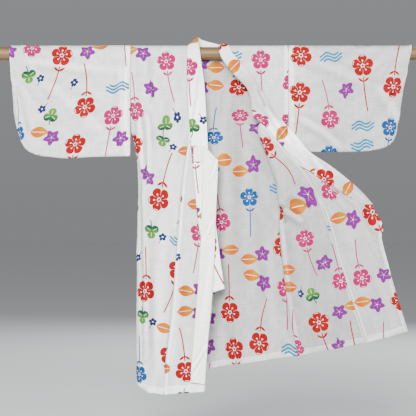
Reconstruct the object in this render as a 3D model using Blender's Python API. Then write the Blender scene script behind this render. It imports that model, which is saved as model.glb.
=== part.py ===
"""A child's one-width cotton kimono, opened out and hung on a rod through both sleeves.

The rod runs along X with its axis through the origin, the front of the garment faces -Y and +Z is
up. Every cloth piece is a thin wall lofted through sections. The sections stand in short tables in
millimetres, and one function, `wall`, gives each lofted sheet its thickness.
"""

import math
from collections import namedtuple

import bpy
import numpy as np

MM = 0.001

# The rod
ROD_RADIUS = 13.0
ROD_HALF_LENGTH = 450.0
ROD_SIDES = 32
SHARP_ANGLE = 50.0

# Cloth walls
PANEL_WALL = 1.6
COLLAR_WALL = 1.8
TIE_WALL = 1.4

# The body where it hangs over the rod
HANG_RADIUS = 15.3
ARMHOLE_LEFT = -158.0
ARMHOLE_RIGHT = 156.0
ARMHOLE_TAPER = 0.055
TAPER_REACH = 60.0
SHOULDER_END = 40.0
SHOULDER_SHARES = (0.0, 0.12, 0.24, 0.36, 0.5, 0.72, 1.0)
SHOULDER_START = 0.5

# The back's neckline, as a drop along the cloth behind the rod
NECK_DROP = 36.5
NECK_LEFT = (-48.5, -28.5)
NECK_RIGHT = (19.0, 34.5)
NECK_EDGE_RIGHT = -46.0
BACK_STEPS = ((-158.0, -52.0, 8), (-52.0, -27.0, 7), (-27.0, 17.0, 4), (17.0, 37.0, 6), (37.0, 156.0, 8))

# Waves in the hanging back panel
BACK_WAVES = 2.5
BACK_WAVE_START = 0.6

# The sleeves
SLEEVE_FOLD_RADIUS = 4.0
SLEEVE_RADIUS = 15.3
SLEEVE_ARC_POINTS = 9
SLEEVE_SIDE_POINTS = 7
SLEEVE_FOLD_POINTS = 3
CORNER_STEPS = (2, 2, 2, 2)
STRAIGHT_STEPS = (1, 1, 1, 1, 1)

BackRow = namedtuple("BackRow", "left_x left_y left_z right_x right_y right_z bulge wave_left wave_right")
BACK_ROWS = [
    BackRow(-158.0, 10.3, -90.0, 156.0, 10.3, -90.0, 5.0, 0.0, 0.0),
    BackRow(-158.0, 8.3, -128.0, 156.0, 7.5, -125.0, 7.0, 0.0, 0.0),
    BackRow(-156.8, 4.4, -150.0, 155.5, 5.0, -150.0, 11.0, 0.0, 0.0),
    BackRow(-145.4, 10.0, -198.0, 152.0, 5.5, -198.0, 11.0, 1.0, 0.5),
    BackRow(-137.4, 18.0, -265.0, 147.0, 6.0, -262.0, 12.0, 3.0, 1.0),
    BackRow(-127.4, 24.0, -355.0, 140.0, 6.0, -339.0, 12.0, 6.0, 2.0),
    BackRow(-116.4, 27.5, -450.0, 148.0, 6.0, -433.0, 12.0, 9.0, 3.0),
    BackRow(-106.4, 29.5, -545.0, 160.0, 6.0, -519.0, 12.0, 12.0, 4.5),
    BackRow(-100.4, 30.0, -600.0, 170.0, 5.0, -571.0, 12.0, 13.5, 5.5),
    BackRow(-96.4, 30.0, -648.0, 177.0, 4.0, -605.0, 12.0, 14.5, 6.0),
]

# From the side seam behind, round the soft left edge, to the okumi seam in front
FrontRow = namedtuple(
    "FrontRow", "seam_x seam_y back_x back_y side_x side_y front_x front_y end_x end_y seam_z end_z"
)
FRONT_RIGHT_ROWS = [
    FrontRow(-158.0, -10.3, -156.0, -10.6, -152.0, -11.2, -143.0, -12.8, -44.3, -15.7, -90.0, -88.0),
    FrontRow(-158.0, -8.3, -156.0, -8.8, -152.0, -9.8, -143.0, -12.2, -42.0, -16.0, -128.0, -125.0),
    FrontRow(-157.6, 0.6, -157.9, -2.0, -156.6, -5.8, -147.0, -12.0, -41.0, -16.3, -150.0, -150.0),
    FrontRow(-146.6, 9.2, -148.4, 5.5, -148.5, 0.0, -142.0, -9.5, -46.6, -16.0, -198.0, -196.0),
    FrontRow(-138.0, 18.0, -142.3, 13.0, -142.8, 4.0, -134.0, -10.5, -56.2, -15.0, -265.0, -262.0),
    FrontRow(-128.0, 24.0, -139.0, 20.0, -145.5, 6.0, -131.0, -12.5, -63.2, -14.0, -355.0, -352.0),
    FrontRow(-117.0, 27.5, -136.0, 24.0, -146.5, 8.0, -130.0, -11.0, -72.2, -13.0, -450.0, -460.0),
    FrontRow(-107.0, 29.5, -133.0, 27.0, -148.0, 9.0, -130.0, -10.0, -80.8, -12.0, -545.0, -550.0),
    FrontRow(-101.0, 30.0, -131.0, 28.0, -148.0, 10.0, -129.0, -9.0, -88.4, -12.0, -600.0, -606.0),
    FrontRow(-97.0, 30.0, -129.0, 28.0, -147.0, 10.0, -128.0, -8.0, -92.6, -12.0, -648.0, -681.0),
]
FRONT_DROP = (0.0, 0.2, 0.32, 0.78, 0.9, 1.0)
FRONT_SWELL = -3.0
FRONT_SHARES = (0.0, 0.02, 0.05, 0.14, 0.55, 1.0)
FRONT_STEPS = (2, 3, 4, 3, 4)

# The right overlap panel, from its seam to the collar and, below the collar's end, a curled edge
OverlapRow = namedtuple("OverlapRow", "seam_x seam_y seam_z turn_x turn_y edge_x edge_y edge_z")
OKUMI_RIGHT_ROWS = [
    OverlapRow(-43.6, -16.3, -178.0, -40.6, -16.4, -38.9, -16.4, -176.0),
    OverlapRow(-46.0, -16.0, -196.0, -39.5, -16.4, -37.0, -16.5, -194.0),
    OverlapRow(-55.6, -15.0, -262.0, -34.5, -17.0, -31.8, -17.0, -260.0),
    OverlapRow(-62.6, -14.0, -352.0, -25.0, -17.8, -22.4, -18.0, -350.0),
    OverlapRow(-68.6, -13.4, -420.0, -11.6, -17.8, -8.8, -18.0, -418.0),
    OverlapRow(-72.6, -13.0, -472.0, -1.0, -16.6, 2.0, -17.0, -470.0),
    OverlapRow(-75.4, -12.6, -500.0, 4.0, -8.0, -3.0, 2.0, -498.0),
    OverlapRow(-80.2, -12.0, -550.0, -1.0, -9.0, -5.5, -2.0, -548.0),
    OverlapRow(-87.8, -12.0, -606.0, -6.5, -11.0, -8.5, -7.5, -604.0),
    OverlapRow(-92.0, -12.0, -681.0, -11.5, -13.0, -11.0, -11.0, -675.0),
]
OKUMI_RIGHT_STEPS = (3, 3, 2)

# The left front hangs from the rod, turns over along a slanting fold and opens outwards
FlapRow = namedtuple("FlapRow", "seam_x seam_y seam_z front_y end_x end_y end_z")
FoldRow = namedtuple("FoldRow", "seam_x seam_y seam_z fold_x fold_z back_y front_y end_x end_y end_z")
FLAP_PLAIN_TOP = [
    FlapRow(156.0, -15.3, 0.0, -15.3, 32.0, -15.3, 0.0),
    FlapRow(156.0, -14.3, -20.0, -15.3, 39.6, -15.3, -20.0),
    FlapRow(156.0, -13.2, -38.0, -15.1, 53.6, -15.1, -38.0),
    FlapRow(156.0, -12.4, -53.0, -14.8, 67.6, -14.8, -53.0),
    FlapRow(156.0, -11.6, -68.0, -14.5, 80.6, -14.5, -68.0),
    FlapRow(156.0, -10.6, -86.0, -14.2, 86.6, -14.2, -86.0),
    FlapRow(156.0, -9.0, -112.0, -13.8, 89.6, -13.8, -112.0),
    FlapRow(156.0, -7.4, -132.0, -12.6, 93.6, -12.8, -132.0),
]
FLAP_FOLDED = [
    FoldRow(156.0, -3.0, -150.0, 95.0, -150.0, -12.4, -21.4, 109.4, -22.6, -147.6),
    FoldRow(154.5, 1.0, -175.0, 100.5, -174.0, -11.0, -22.4, 127.4, -23.8, -168.6),
    FoldRow(151.5, 2.6, -215.0, 115.0, -212.0, -8.0, -22.0, 150.0, -24.4, -195.0),
    FoldRow(147.5, 3.4, -260.0, 131.0, -256.0, -4.5, -18.5, 182.2, -24.0, -231.2),
    FoldRow(142.6, 3.6, -298.0, 136.0, -296.0, -2.0, -13.0, 209.5, -18.6, -272.0),
]
FLAP_PLAIN_LOW = [
    FlapRow(139.4, 3.6, -339.0, -7.0, 224.4, -14.0, -305.0),
    FlapRow(142.0, 3.7, -385.0, -7.0, 240.4, -12.0, -352.0),
    FlapRow(147.2, 3.8, -433.0, -8.0, 252.4, -11.0, -398.0),
    FlapRow(153.4, 3.8, -479.0, -9.0, 267.4, -12.0, -443.0),
    FlapRow(159.2, 3.8, -519.0, -10.0, 280.4, -14.0, -486.0),
    FlapRow(167.0, 3.0, -560.0, -11.0, 295.4, -16.0, -528.0),
    FlapRow(176.4, 1.8, -605.0, -12.0, 311.4, -18.0, -577.0),
]
FLAP_TOP_SHARES = (0.0, 0.4, 0.8, 0.87, 0.92, 0.95, 0.975, 1.0)
FLAP_LOW_SHARES = (0.0, 0.03, 0.07, 0.12, 0.18, 0.45, 0.72, 1.0)
FLAP_TURNED_SHARES = (0.35, 0.7, 1.0)
FLAP_RISE_SHARE = 0.3
FLAP_STEPS = (3, 3, 3, 3, 2, 2, 3)
FLAP_SWELL = (0.0, 0.1, 0.25, 0.5, 1.0, -0.7, 0.8, 0.0)
FLAP_SWELL_DEPTH = 5.0
FLAP_ARC_ROWS = 3
FLAP_NECK_TOP = 34.5
FLAP_NECK_FRONT = 32.0

# The left overlap panel, from its seam to the opened front edge
OpenRow = namedtuple("OpenRow", "seam_x seam_y seam_z inner_x inner_z outer_x outer_z edge_x edge_y edge_z")
OKUMI_LEFT_ROWS = [
    OpenRow(195.4, -24.0, -240.0, 240.0, -271.2, 283.0, -299.6, 324.0, -17.4, -304.4),
    OpenRow(210.0, -18.6, -272.0, 250.0, -290.0, 292.0, -312.0, 331.0, -17.0, -320.0),
    OpenRow(224.9, -14.0, -305.0, 262.0, -315.0, 302.0, -328.0, 340.0, -18.0, -334.0),
    OpenRow(236.5, -12.5, -337.0, 270.0, -337.0, 308.0, -345.0, 344.0, -20.0, -350.0),
    OpenRow(246.0, -11.5, -369.0, 278.0, -363.0, 311.0, -362.0, 341.0, -22.0, -366.0),
    OpenRow(252.9, -11.0, -398.0, 284.0, -389.0, 315.0, -384.0, 345.0, -20.0, -386.0),
    OpenRow(267.9, -12.0, -443.0, 296.0, -431.0, 325.0, -420.0, 353.0, -18.0, -414.0),
    OpenRow(280.9, -14.0, -486.0, 309.0, -476.0, 337.0, -466.0, 365.0, -18.0, -459.0),
    OpenRow(295.9, -16.0, -528.0, 324.0, -520.0, 352.0, -513.0, 379.0, -19.0, -507.0),
    OpenRow(311.9, -18.0, -577.0, 340.0, -569.5, 367.0, -562.0, 394.0, -20.0, -554.0),
]
OKUMI_LEFT_SWELL = (-1.0, -2.6)
OKUMI_LEFT_STEPS = (3, 3, 3)

# The collar band: the sewn edge and the free edge, from its right end round the neck to its left end
CollarRow = namedtuple("CollarRow", "sewn_x sewn_y sewn_z free_x free_y free_z")
COLLAR_RIGHT_ROWS = [
    CollarRow(5.6, -18.0, -477.0, 29.0, -21.0, -469.0),
    CollarRow(-6.0, -19.0, -423.0, 21.8, -22.0, -421.0),
    CollarRow(-20.4, -18.6, -352.0, 12.6, -21.6, -350.0),
    CollarRow(-30.4, -17.6, -262.0, 2.6, -20.6, -260.0),
    CollarRow(-36.2, -17.0, -194.0, -3.6, -19.6, -194.0),
    CollarRow(-40.0, -16.6, -146.0, -6.4, -19.0, -144.0),
    CollarRow(-43.4, -16.2, -98.0, -9.0, -18.4, -96.0),
    CollarRow(-44.6, -16.0, -58.0, -12.0, -18.0, -56.0),
    CollarRow(-45.2, -16.0, -24.0, -17.0, -18.2, -22.0),
    CollarRow(-45.2, -15.9, 0.0, -20.6, -18.6, 6.0),
    CollarRow(-45.0, -11.0, 11.2, -23.6, -13.0, 22.0),
    CollarRow(-43.6, 0.0, 15.7, -25.0, -4.0, 32.5),
    CollarRow(-40.6, 11.2, 11.2, -22.4, 6.0, 32.5),
    CollarRow(-36.0, 16.0, 1.0, -17.0, 13.0, 29.0),
    CollarRow(-26.0, 16.8, -8.0, -8.0, 16.6, 26.5),
    CollarRow(-4.0, 17.0, -11.4, 1.0, 17.6, 24.0),
]

# On the left the band rolls over outwards from the neck down, so each row also has its roll
RolledRow = namedtuple("RolledRow", "sewn_x sewn_y sewn_z roll_x roll_y roll_z free_x free_y free_z")
COLLAR_LEFT_ROWS = [
    RolledRow(9.0, 16.8, -9.6, 10.0, 17.2, 6.0, 10.0, 17.4, 21.6),
    RolledRow(17.6, 16.4, -4.6, 17.0, 17.4, 8.0, 18.0, 17.0, 19.6),
    RolledRow(23.0, 15.0, 4.4, 20.0, 14.6, 12.6, 25.0, 12.0, 19.4),
    RolledRow(28.0, 9.4, 12.6, 21.0, 6.4, 17.0, 31.0, 4.0, 19.4),
    RolledRow(30.6, 0.0, 15.6, 20.4, -2.0, 17.8, 36.0, -7.0, 17.8),
    RolledRow(31.0, -11.2, 11.2, 19.0, -12.8, 12.0, 40.0, -16.6, 10.0),
    RolledRow(30.4, -15.9, 0.0, 19.0, -18.0, 0.0, 45.0, -20.4, -1.0),
    RolledRow(38.0, -15.9, -20.0, 29.0, -18.6, -19.0, 58.0, -21.6, -16.0),
    RolledRow(52.0, -15.7, -38.0, 43.0, -18.6, -38.0, 73.0, -22.0, -35.0),
    RolledRow(66.0, -15.4, -53.0, 58.6, -18.6, -54.0, 86.0, -23.0, -51.0),
    RolledRow(79.0, -15.1, -68.0, 73.0, -18.6, -69.0, 99.0, -24.0, -70.0),
    RolledRow(85.0, -14.8, -86.0, 80.6, -18.4, -87.0, 110.0, -25.0, -86.0),
    RolledRow(88.0, -14.5, -112.0, 84.6, -18.4, -113.0, 123.0, -26.0, -110.0),
    RolledRow(92.0, -15.2, -132.0, 92.6, -20.0, -133.0, 131.0, -28.0, -128.0),
    RolledRow(110.0, -22.6, -147.0, 121.0, -28.0, -137.0, 136.0, -29.0, -132.0),
    RolledRow(128.0, -23.8, -168.0, 141.0, -30.0, -156.0, 153.0, -30.0, -146.0),
    RolledRow(151.0, -24.4, -193.4, 163.0, -30.0, -180.0, 174.0, -31.0, -169.0),
    RolledRow(176.0, -24.2, -223.0, 187.0, -28.0, -210.0, 197.0, -30.0, -197.0),
    RolledRow(216.0, -23.0, -252.0, 226.0, -25.4, -238.0, 236.0, -27.0, -223.0),
    RolledRow(253.0, -21.4, -279.0, 263.0, -22.6, -265.0, 273.0, -23.0, -251.0),
    RolledRow(282.0, -19.6, -297.6, 293.0, -20.0, -288.0, 304.0, -20.0, -279.0),
    RolledRow(296.0, -18.4, -302.0, 310.0, -18.2, -302.0, 324.4, -18.0, -302.0),
]
COLLAR_STEPS = (3, 3)

# The tie: a stub sewn on the collar, folded over at 45 degrees and hanging
TieRow = namedtuple("TieRow", "left_x left_z right_x right_z depth")
TIE_ROWS = [
    TieRow(-33.0, -187.0, -33.0, -217.0, -19.6),
    TieRow(-22.0, -187.0, -10.0, -217.0, -21.8),
    TieRow(-12.0, -188.0, 15.0, -216.0, -23.2),
    TieRow(-10.6, -186.4, 17.2, -214.6, -25.0),
    TieRow(-12.4, -188.4, 16.0, -216.4, -26.8),
    TieRow(-14.4, -222.0, 16.0, -226.0, -27.2),
    TieRow(-15.0, -250.0, 15.0, -252.0, -27.0),
    TieRow(-17.0, -331.0, 11.6, -331.0, -26.6),
    TieRow(-22.0, -435.0, 7.6, -435.0, -26.6),
    TieRow(-26.0, -490.0, 4.0, -490.0, -25.0),
    TieRow(-33.4, -575.0, -4.0, -575.0, -21.0),
    TieRow(-37.4, -625.0, -8.0, -628.0, -19.0),
    TieRow(-38.4, -656.0, -10.0, -660.0, -18.0),
]
TIE_STEPS = (2, 2)

# Sleeve stations: where the section meets the rod, and where its lower fold is
SleeveStation = namedtuple("SleeveStation", "top_x low_x low_z")
SLEEVE_RIGHT_STATIONS = [
    SleeveStation(-401.0, -391.8, -119.0),
    SleeveStation(-396.0, -387.0, -145.0),
    SleeveStation(-389.0, -380.8, -167.0),
    SleeveStation(-378.0, -370.0, -189.0),
    SleeveStation(-356.0, -348.6, -202.0),
    SleeveStation(-318.0, -313.0, -207.4),
    SleeveStation(-286.0, -284.0, -209.4),
    SleeveStation(-242.0, -242.0, -207.0),
    SleeveStation(-200.0, -201.0, -206.0),
    SleeveStation(-158.6, -160.0, -205.0),
]
SLEEVE_LEFT_STATIONS = [
    SleeveStation(156.6, 157.4, -196.0),
    SleeveStation(200.0, 200.0, -196.6),
    SleeveStation(246.0, 246.0, -197.0),
    SleeveStation(282.0, 280.0, -196.6),
    SleeveStation(334.0, 322.0, -194.0),
    SleeveStation(366.0, 352.0, -186.4),
    SleeveStation(382.0, 365.6, -176.0),
    SleeveStation(392.0, 372.4, -160.0),
    SleeveStation(399.0, 374.6, -142.0),
    SleeveStation(403.0, 376.6, -119.0),
]


def clear_scene():
    """Removes the objects of the startup scene."""
    for thing in list(bpy.data.objects):
        bpy.data.objects.remove(thing, do_unlink=True)


def finish(name, colour, roughness):
    """A plain material with a colour and a roughness."""
    made = bpy.data.materials.new(name)
    made.use_nodes = True
    shader = made.node_tree.nodes["Principled BSDF"]
    shader.inputs["Base Color"].default_value = (*colour, 1.0)
    shader.inputs["Roughness"].default_value = roughness
    shader.inputs["Metallic"].default_value = 0.0
    return made


def smooth_through(points, counts):
    """A smooth curve through points (one per entry of axis 0), with counts[i] steps in span i."""
    points = np.asarray(points, float)
    flat = points.reshape(len(points), -1, 3)
    lengths = np.linalg.norm(np.diff(flat, axis=0), axis=2).mean(axis=1)
    knots = np.concatenate([[0.0], np.cumsum(np.sqrt(np.maximum(lengths, 1e-3)))])
    spans = np.diff(knots)
    shape = (-1,) + (1,) * (points.ndim - 1)
    slopes = np.diff(points, axis=0) / spans.reshape(shape)
    tangents = np.empty_like(points)
    tangents[0] = slopes[0]
    tangents[-1] = slopes[-1]
    for i in range(1, len(points) - 1):
        before, after = spans[i - 1], spans[i]
        tangents[i] = (slopes[i - 1] * after + slopes[i] * before) / (before + after)
    made = [points[0]]
    for i, count in enumerate(counts):
        for step in range(1, count + 1):
            t = step / count
            start = (1 + 2 * t) * (1 - t) ** 2
            leave = t * (1 - t) ** 2 * spans[i]
            end = t * t * (3 - 2 * t)
            arrive = t * t * (t - 1) * spans[i]
            made.append(
                start * points[i] + leave * tangents[i] + end * points[i + 1] + arrive * tangents[i + 1]
            )
    return np.array(made)


def sheet_through(rows, across):
    """A grid of points, each row a smooth section through its key points."""
    return np.array([smooth_through(row, across) for row in rows])


def grid_normals(grid, closed):
    """The unit normal at each point of a grid, which is closed or open across."""
    if closed:
        across = np.roll(grid, -1, axis=1) - np.roll(grid, 1, axis=1)
    else:
        across = np.gradient(grid, axis=1)
    normals = np.cross(across, np.gradient(grid, axis=0))
    return normals / np.linalg.norm(normals, axis=2, keepdims=True)


def wall(name, grid, thickness, material, closed=False):
    """One object: the grid as a closed wall of this thickness, in millimetres."""
    rows, columns = grid.shape[:2]
    offset = grid_normals(grid, closed) * thickness / 2
    points = np.concatenate([(grid + offset).reshape(-1, 3), (grid - offset).reshape(-1, 3)])
    inner = rows * columns

    def at(row, column, side):
        return side * inner + row * columns + column % columns

    faces = []
    spans = columns if closed else columns - 1
    for row in range(rows - 1):
        for column in range(spans):
            corners = [(row, column), (row, column + 1), (row + 1, column + 1), (row + 1, column)]
            faces.append([at(*corner, 0) for corner in corners])
            faces.append([at(*corner, 1) for corner in reversed(corners)])
    for column in range(spans):
        faces.append([at(0, column, 0), at(0, column, 1), at(0, column + 1, 1), at(0, column + 1, 0)])
        last = rows - 1
        faces.append(
            [at(last, column, 0), at(last, column + 1, 0), at(last, column + 1, 1), at(last, column, 1)]
        )
    if not closed:
        for row in range(rows - 1):
            faces.append([at(row, 0, 0), at(row + 1, 0, 0), at(row + 1, 0, 1), at(row, 0, 1)])
            end = columns - 1
            faces.append([at(row, end, 0), at(row, end, 1), at(row + 1, end, 1), at(row + 1, end, 0)])
    if signed_volume(points, faces) < 0:
        faces = [face[::-1] for face in faces]
    mesh = bpy.data.meshes.new(name)
    mesh.from_pydata((points * MM).tolist(), [], faces)
    mesh.materials.append(material)
    mesh.shade_smooth()
    mesh.set_sharp_from_angle(angle=math.radians(SHARP_ANGLE))
    made = bpy.data.objects.new(name, mesh)
    bpy.context.collection.objects.link(made)
    return made


def signed_volume(points, faces):
    """Six times the volume that the four-sided faces close, negative where they point inwards."""
    corners = points[np.array(faces)]
    first = np.einsum("ij,ij->i", corners[:, 0], np.cross(corners[:, 1], corners[:, 2]))
    second = np.einsum("ij,ij->i", corners[:, 0], np.cross(corners[:, 2], corners[:, 3]))
    return first.sum() + second.sum()


def over_rod(x, path, side):
    """The point that lies path mm down the cloth from the rod's top; side is 1 behind, -1 in front."""
    quarter = HANG_RADIUS * math.pi / 2
    path = max(path, SHOULDER_START)
    if path < quarter:
        angle = path / HANG_RADIUS
        return (x, side * HANG_RADIUS * math.sin(angle), HANG_RADIUS * math.cos(angle))
    return (x, side * HANG_RADIUS, quarter - path)


def ease(value, low, high):
    """0 below low, 1 above high, and smooth between."""
    share = min(max((value - low) / (high - low), 0.0), 1.0)
    return share * share * (3 - 2 * share)


def neck_drop(x):
    """How far down the cloth, behind the rod, the back's edge lies at x."""
    return NECK_DROP * ease(x, *NECK_LEFT) * (1 - ease(x, *NECK_RIGHT))


def shoulder_row(row_share, xs, side, drop):
    """One of the rows between the rod's top, or the neckline, and SHOULDER_END below the rod."""
    end = HANG_RADIUS * math.pi / 2 + SHOULDER_END
    points = []
    for x in xs:
        start = drop(x)
        point = over_rod(x, start + (end - start) * row_share, side)
        near = 1 - min(abs(x - ARMHOLE_LEFT), abs(x - ARMHOLE_RIGHT)) / TAPER_REACH
        pull = ARMHOLE_TAPER * max(-point[2], 0.0) * max(near, 0.0)
        points.append((x, point[1] - side * pull, point[2]))
    return points


def make_rod(material):
    """The plain round rod through both sleeves."""
    bpy.ops.mesh.primitive_cylinder_add(
        vertices=ROD_SIDES,
        radius=ROD_RADIUS * MM,
        depth=2 * ROD_HALF_LENGTH * MM,
        rotation=(0.0, math.pi / 2, 0.0),
    )
    rod = bpy.context.object
    rod.name = "rod"
    rod.data.materials.append(material)
    rod.data.shade_smooth()
    rod.data.set_sharp_from_angle(angle=math.radians(SHARP_ANGLE))


def make_back(material):
    """The back, one cloth wide, with the neckline cut behind the rod and soft waves lower down."""
    xs = [ARMHOLE_LEFT]
    for low, high, steps in BACK_STEPS:
        xs += [low + (high - low) * (step + 1) / steps for step in range(steps)]
    shares = [(x - ARMHOLE_LEFT) / (ARMHOLE_RIGHT - ARMHOLE_LEFT) for x in xs]
    upper = [shoulder_row(share, xs, 1.0, neck_drop) for share in SHOULDER_SHARES]
    lower = []
    for row in BACK_ROWS:
        points = []
        for share, x in zip(shares, xs):
            window = math.sqrt(math.sin(math.pi * share)) if 0 < share < 1 else 0.0
            wave = row.wave_left + (row.wave_right - row.wave_left) * share
            swing = math.sin(2 * math.pi * BACK_WAVES * share + BACK_WAVE_START)
            x = row.left_x + (row.right_x - row.left_x) * share
            y = row.left_y + (row.right_y - row.left_y) * share + (row.bulge + wave * swing) * window
            z = row.left_z + (row.right_z - row.left_z) * share
            points.append((x, y, z))
        lower.append(points)
    rows = np.array(upper + lower)
    wall("back", rows, PANEL_WALL, material)


def make_front_right(material):
    """The right front: shoulder to hem, its side rounding away behind."""
    xs = [ARMHOLE_LEFT + (NECK_EDGE_RIGHT - ARMHOLE_LEFT) * share for share in FRONT_SHARES]
    rows = [shoulder_row(share, xs, -1.0, lambda x: 0.0) for share in SHOULDER_SHARES]
    for row in FRONT_RIGHT_ROWS:
        middle_x = (row.front_x + row.end_x) / 2
        middle_y = (row.front_y + row.end_y) / 2 + FRONT_SWELL
        xy = (
            (row.seam_x, row.seam_y),
            (row.back_x, row.back_y),
            (row.side_x, row.side_y),
            (row.front_x, row.front_y),
            (middle_x, middle_y),
            (row.end_x, row.end_y),
        )
        drop = row.end_z - row.seam_z
        rows.append([(x, y, row.seam_z + drop * share) for (x, y), share in zip(xy, FRONT_DROP)])
    wall("front_right", sheet_through(rows, FRONT_STEPS), PANEL_WALL, material)


def make_okumi_right(material):
    """The narrow overlap panel between the right front and the collar."""
    rows = []
    for row in OKUMI_RIGHT_ROWS:
        middle = [(row.seam_x + row.turn_x) / 2, (row.seam_y + row.turn_y) / 2, (row.seam_z + row.edge_z) / 2]
        rows.append(
            [
                (row.seam_x, row.seam_y, row.seam_z),
                middle,
                (row.turn_x, row.turn_y, row.edge_z),
                (row.edge_x, row.edge_y, row.edge_z),
            ]
        )
    wall("okumi_right", sheet_through(rows, OKUMI_RIGHT_STEPS), PANEL_WALL, material)


def folded_section(row):
    """Key points of one row of the left front where it turns over along the slanting fold."""
    radius = (row.back_y - row.front_y) / 2
    turned_x = row.fold_x + radius
    middle_x = (row.seam_x + turned_x) / 2
    middle_y = (row.seam_y + row.back_y) / 2
    points = [
        (row.seam_x, row.seam_y, row.seam_z),
        (middle_x, middle_y, (row.seam_z + row.fold_z) / 2),
        (turned_x, row.back_y, row.fold_z),
        (row.fold_x, (row.back_y + row.front_y) / 2, row.fold_z),
        (min(turned_x, (row.fold_x + row.end_x) / 2), row.front_y, row.fold_z),
    ]
    turned = np.array(points[-1])
    end = np.array((row.end_x, row.end_y, row.end_z))
    for share in FLAP_TURNED_SHARES:
        points.append(tuple(turned + (end - turned) * share))
    return points


def plain_section(row, shares, swell):
    """Key points of one row of the left front where it lies open."""
    seam = np.array((row.seam_x, row.seam_y, row.seam_z))
    end = np.array((row.end_x, row.end_y, row.end_z))
    points = []
    for share, bump in zip(shares, FLAP_SWELL):
        point = seam + (end - seam) * share
        reach = ease(share, 0.0, FLAP_RISE_SHARE)
        settle = ease(share, FLAP_RISE_SHARE, 1.0)
        point[1] = seam[1] + (row.front_y - seam[1]) * reach + (end[1] - row.front_y) * settle
        point[1] += swell * bump
        points.append(tuple(point))
    return points


def make_front_left(material):
    """The left front, turned over below the neck and opened outwards with its inside showing."""
    rows = []
    for row in range(FLAP_ARC_ROWS):
        path = row * HANG_RADIUS * math.pi / 2 / FLAP_ARC_ROWS
        neck = FLAP_NECK_TOP + (FLAP_NECK_FRONT - FLAP_NECK_TOP) * row / FLAP_ARC_ROWS
        xs = [ARMHOLE_RIGHT + (neck - ARMHOLE_RIGHT) * share for share in FLAP_TOP_SHARES]
        rows.append([over_rod(x, path, -1.0) for x in xs])
    for row in FLAP_PLAIN_TOP:
        rows.append(plain_section(row, FLAP_TOP_SHARES, 0.0))
    for row in FLAP_FOLDED:
        rows.append(folded_section(row))
    for number, row in enumerate(FLAP_PLAIN_LOW):
        swell = FLAP_SWELL_DEPTH * (number + 1) / len(FLAP_PLAIN_LOW)
        rows.append(plain_section(row, FLAP_LOW_SHARES, swell))
    wall("front_left", sheet_through(rows, FLAP_STEPS), PANEL_WALL, material)


def make_okumi_left(material):
    """The left overlap panel, opened outwards with the front."""
    rows = []
    for row in OKUMI_LEFT_ROWS:
        inner_y = row.seam_y + (row.edge_y - row.seam_y) / 3 + OKUMI_LEFT_SWELL[0]
        outer_y = row.seam_y + (row.edge_y - row.seam_y) * 2 / 3 + OKUMI_LEFT_SWELL[1]
        rows.append(
            [
                (row.seam_x, row.seam_y, row.seam_z),
                (row.inner_x, inner_y, row.inner_z),
                (row.outer_x, outer_y, row.outer_z),
                (row.edge_x, row.edge_y, row.edge_z),
            ]
        )
    wall("okumi_left", sheet_through(rows, OKUMI_LEFT_STEPS), PANEL_WALL, material)


def make_collar(material):
    """The band collar from its right end, up, round behind the neck and down the opened left edge."""
    rows = []
    for row in COLLAR_RIGHT_ROWS:
        sewn = np.array((row.sewn_x, row.sewn_y, row.sewn_z))
        free = np.array((row.free_x, row.free_y, row.free_z))
        rows.append([tuple(sewn), tuple((sewn + free) / 2), tuple(free)])
    for row in COLLAR_LEFT_ROWS:
        rows.append(
            [
                (row.sewn_x, row.sewn_y, row.sewn_z),
                (row.roll_x, row.roll_y, row.roll_z),
                (row.free_x, row.free_y, row.free_z),
            ]
        )
    wall("collar", sheet_through(rows, COLLAR_STEPS), COLLAR_WALL, material)


def make_tie(material):
    """The tie sewn on the collar, folded down at 45 degrees and hanging in front."""
    rows = []
    for row in TIE_ROWS:
        left = np.array((row.left_x, row.depth, row.left_z))
        right = np.array((row.right_x, row.depth, row.right_z))
        rows.append([tuple(left), tuple((left + right) / 2), tuple(right)])
    wall("tie", sheet_through(rows, TIE_STEPS), TIE_WALL, material)


def sleeve_section(station):
    """A closed loop round the rod, with the sleeve's lower fold at the station's low point."""
    fold_centre = station.low_z + SLEEVE_FOLD_RADIUS
    profile = []
    for step in range(SLEEVE_ARC_POINTS):
        angle = math.pi * step / (SLEEVE_ARC_POINTS - 1)
        profile.append((-SLEEVE_RADIUS * math.cos(angle), SLEEVE_RADIUS * math.sin(angle)))
    for step in range(1, SLEEVE_SIDE_POINTS):
        share = step / SLEEVE_SIDE_POINTS
        profile.append(
            (SLEEVE_RADIUS + (SLEEVE_FOLD_RADIUS - SLEEVE_RADIUS) * share, fold_centre * share)
        )
    for step in range(SLEEVE_FOLD_POINTS + 2):
        angle = math.pi * step / (SLEEVE_FOLD_POINTS + 1)
        profile.append(
            (SLEEVE_FOLD_RADIUS * math.cos(angle), fold_centre - SLEEVE_FOLD_RADIUS * math.sin(angle))
        )
    for step in range(1, SLEEVE_SIDE_POINTS):
        share = 1 - step / SLEEVE_SIDE_POINTS
        profile.append(
            (-SLEEVE_RADIUS - (SLEEVE_FOLD_RADIUS - SLEEVE_RADIUS) * share, fold_centre * share)
        )
    top = SLEEVE_RADIUS
    points = []
    for y, z in profile:
        share = (top - z) / (top - station.low_z)
        points.append((station.top_x + (station.low_x - station.top_x) * share, y, z))
    return points


def make_sleeve(name, stations, steps, material):
    """A flat tube of a sleeve on the rod, open at the cuff and towards the body."""
    rows = np.array([sleeve_section(station) for station in stations])
    wall(name, smooth_through(rows, steps), PANEL_WALL, material, closed=True)


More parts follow.
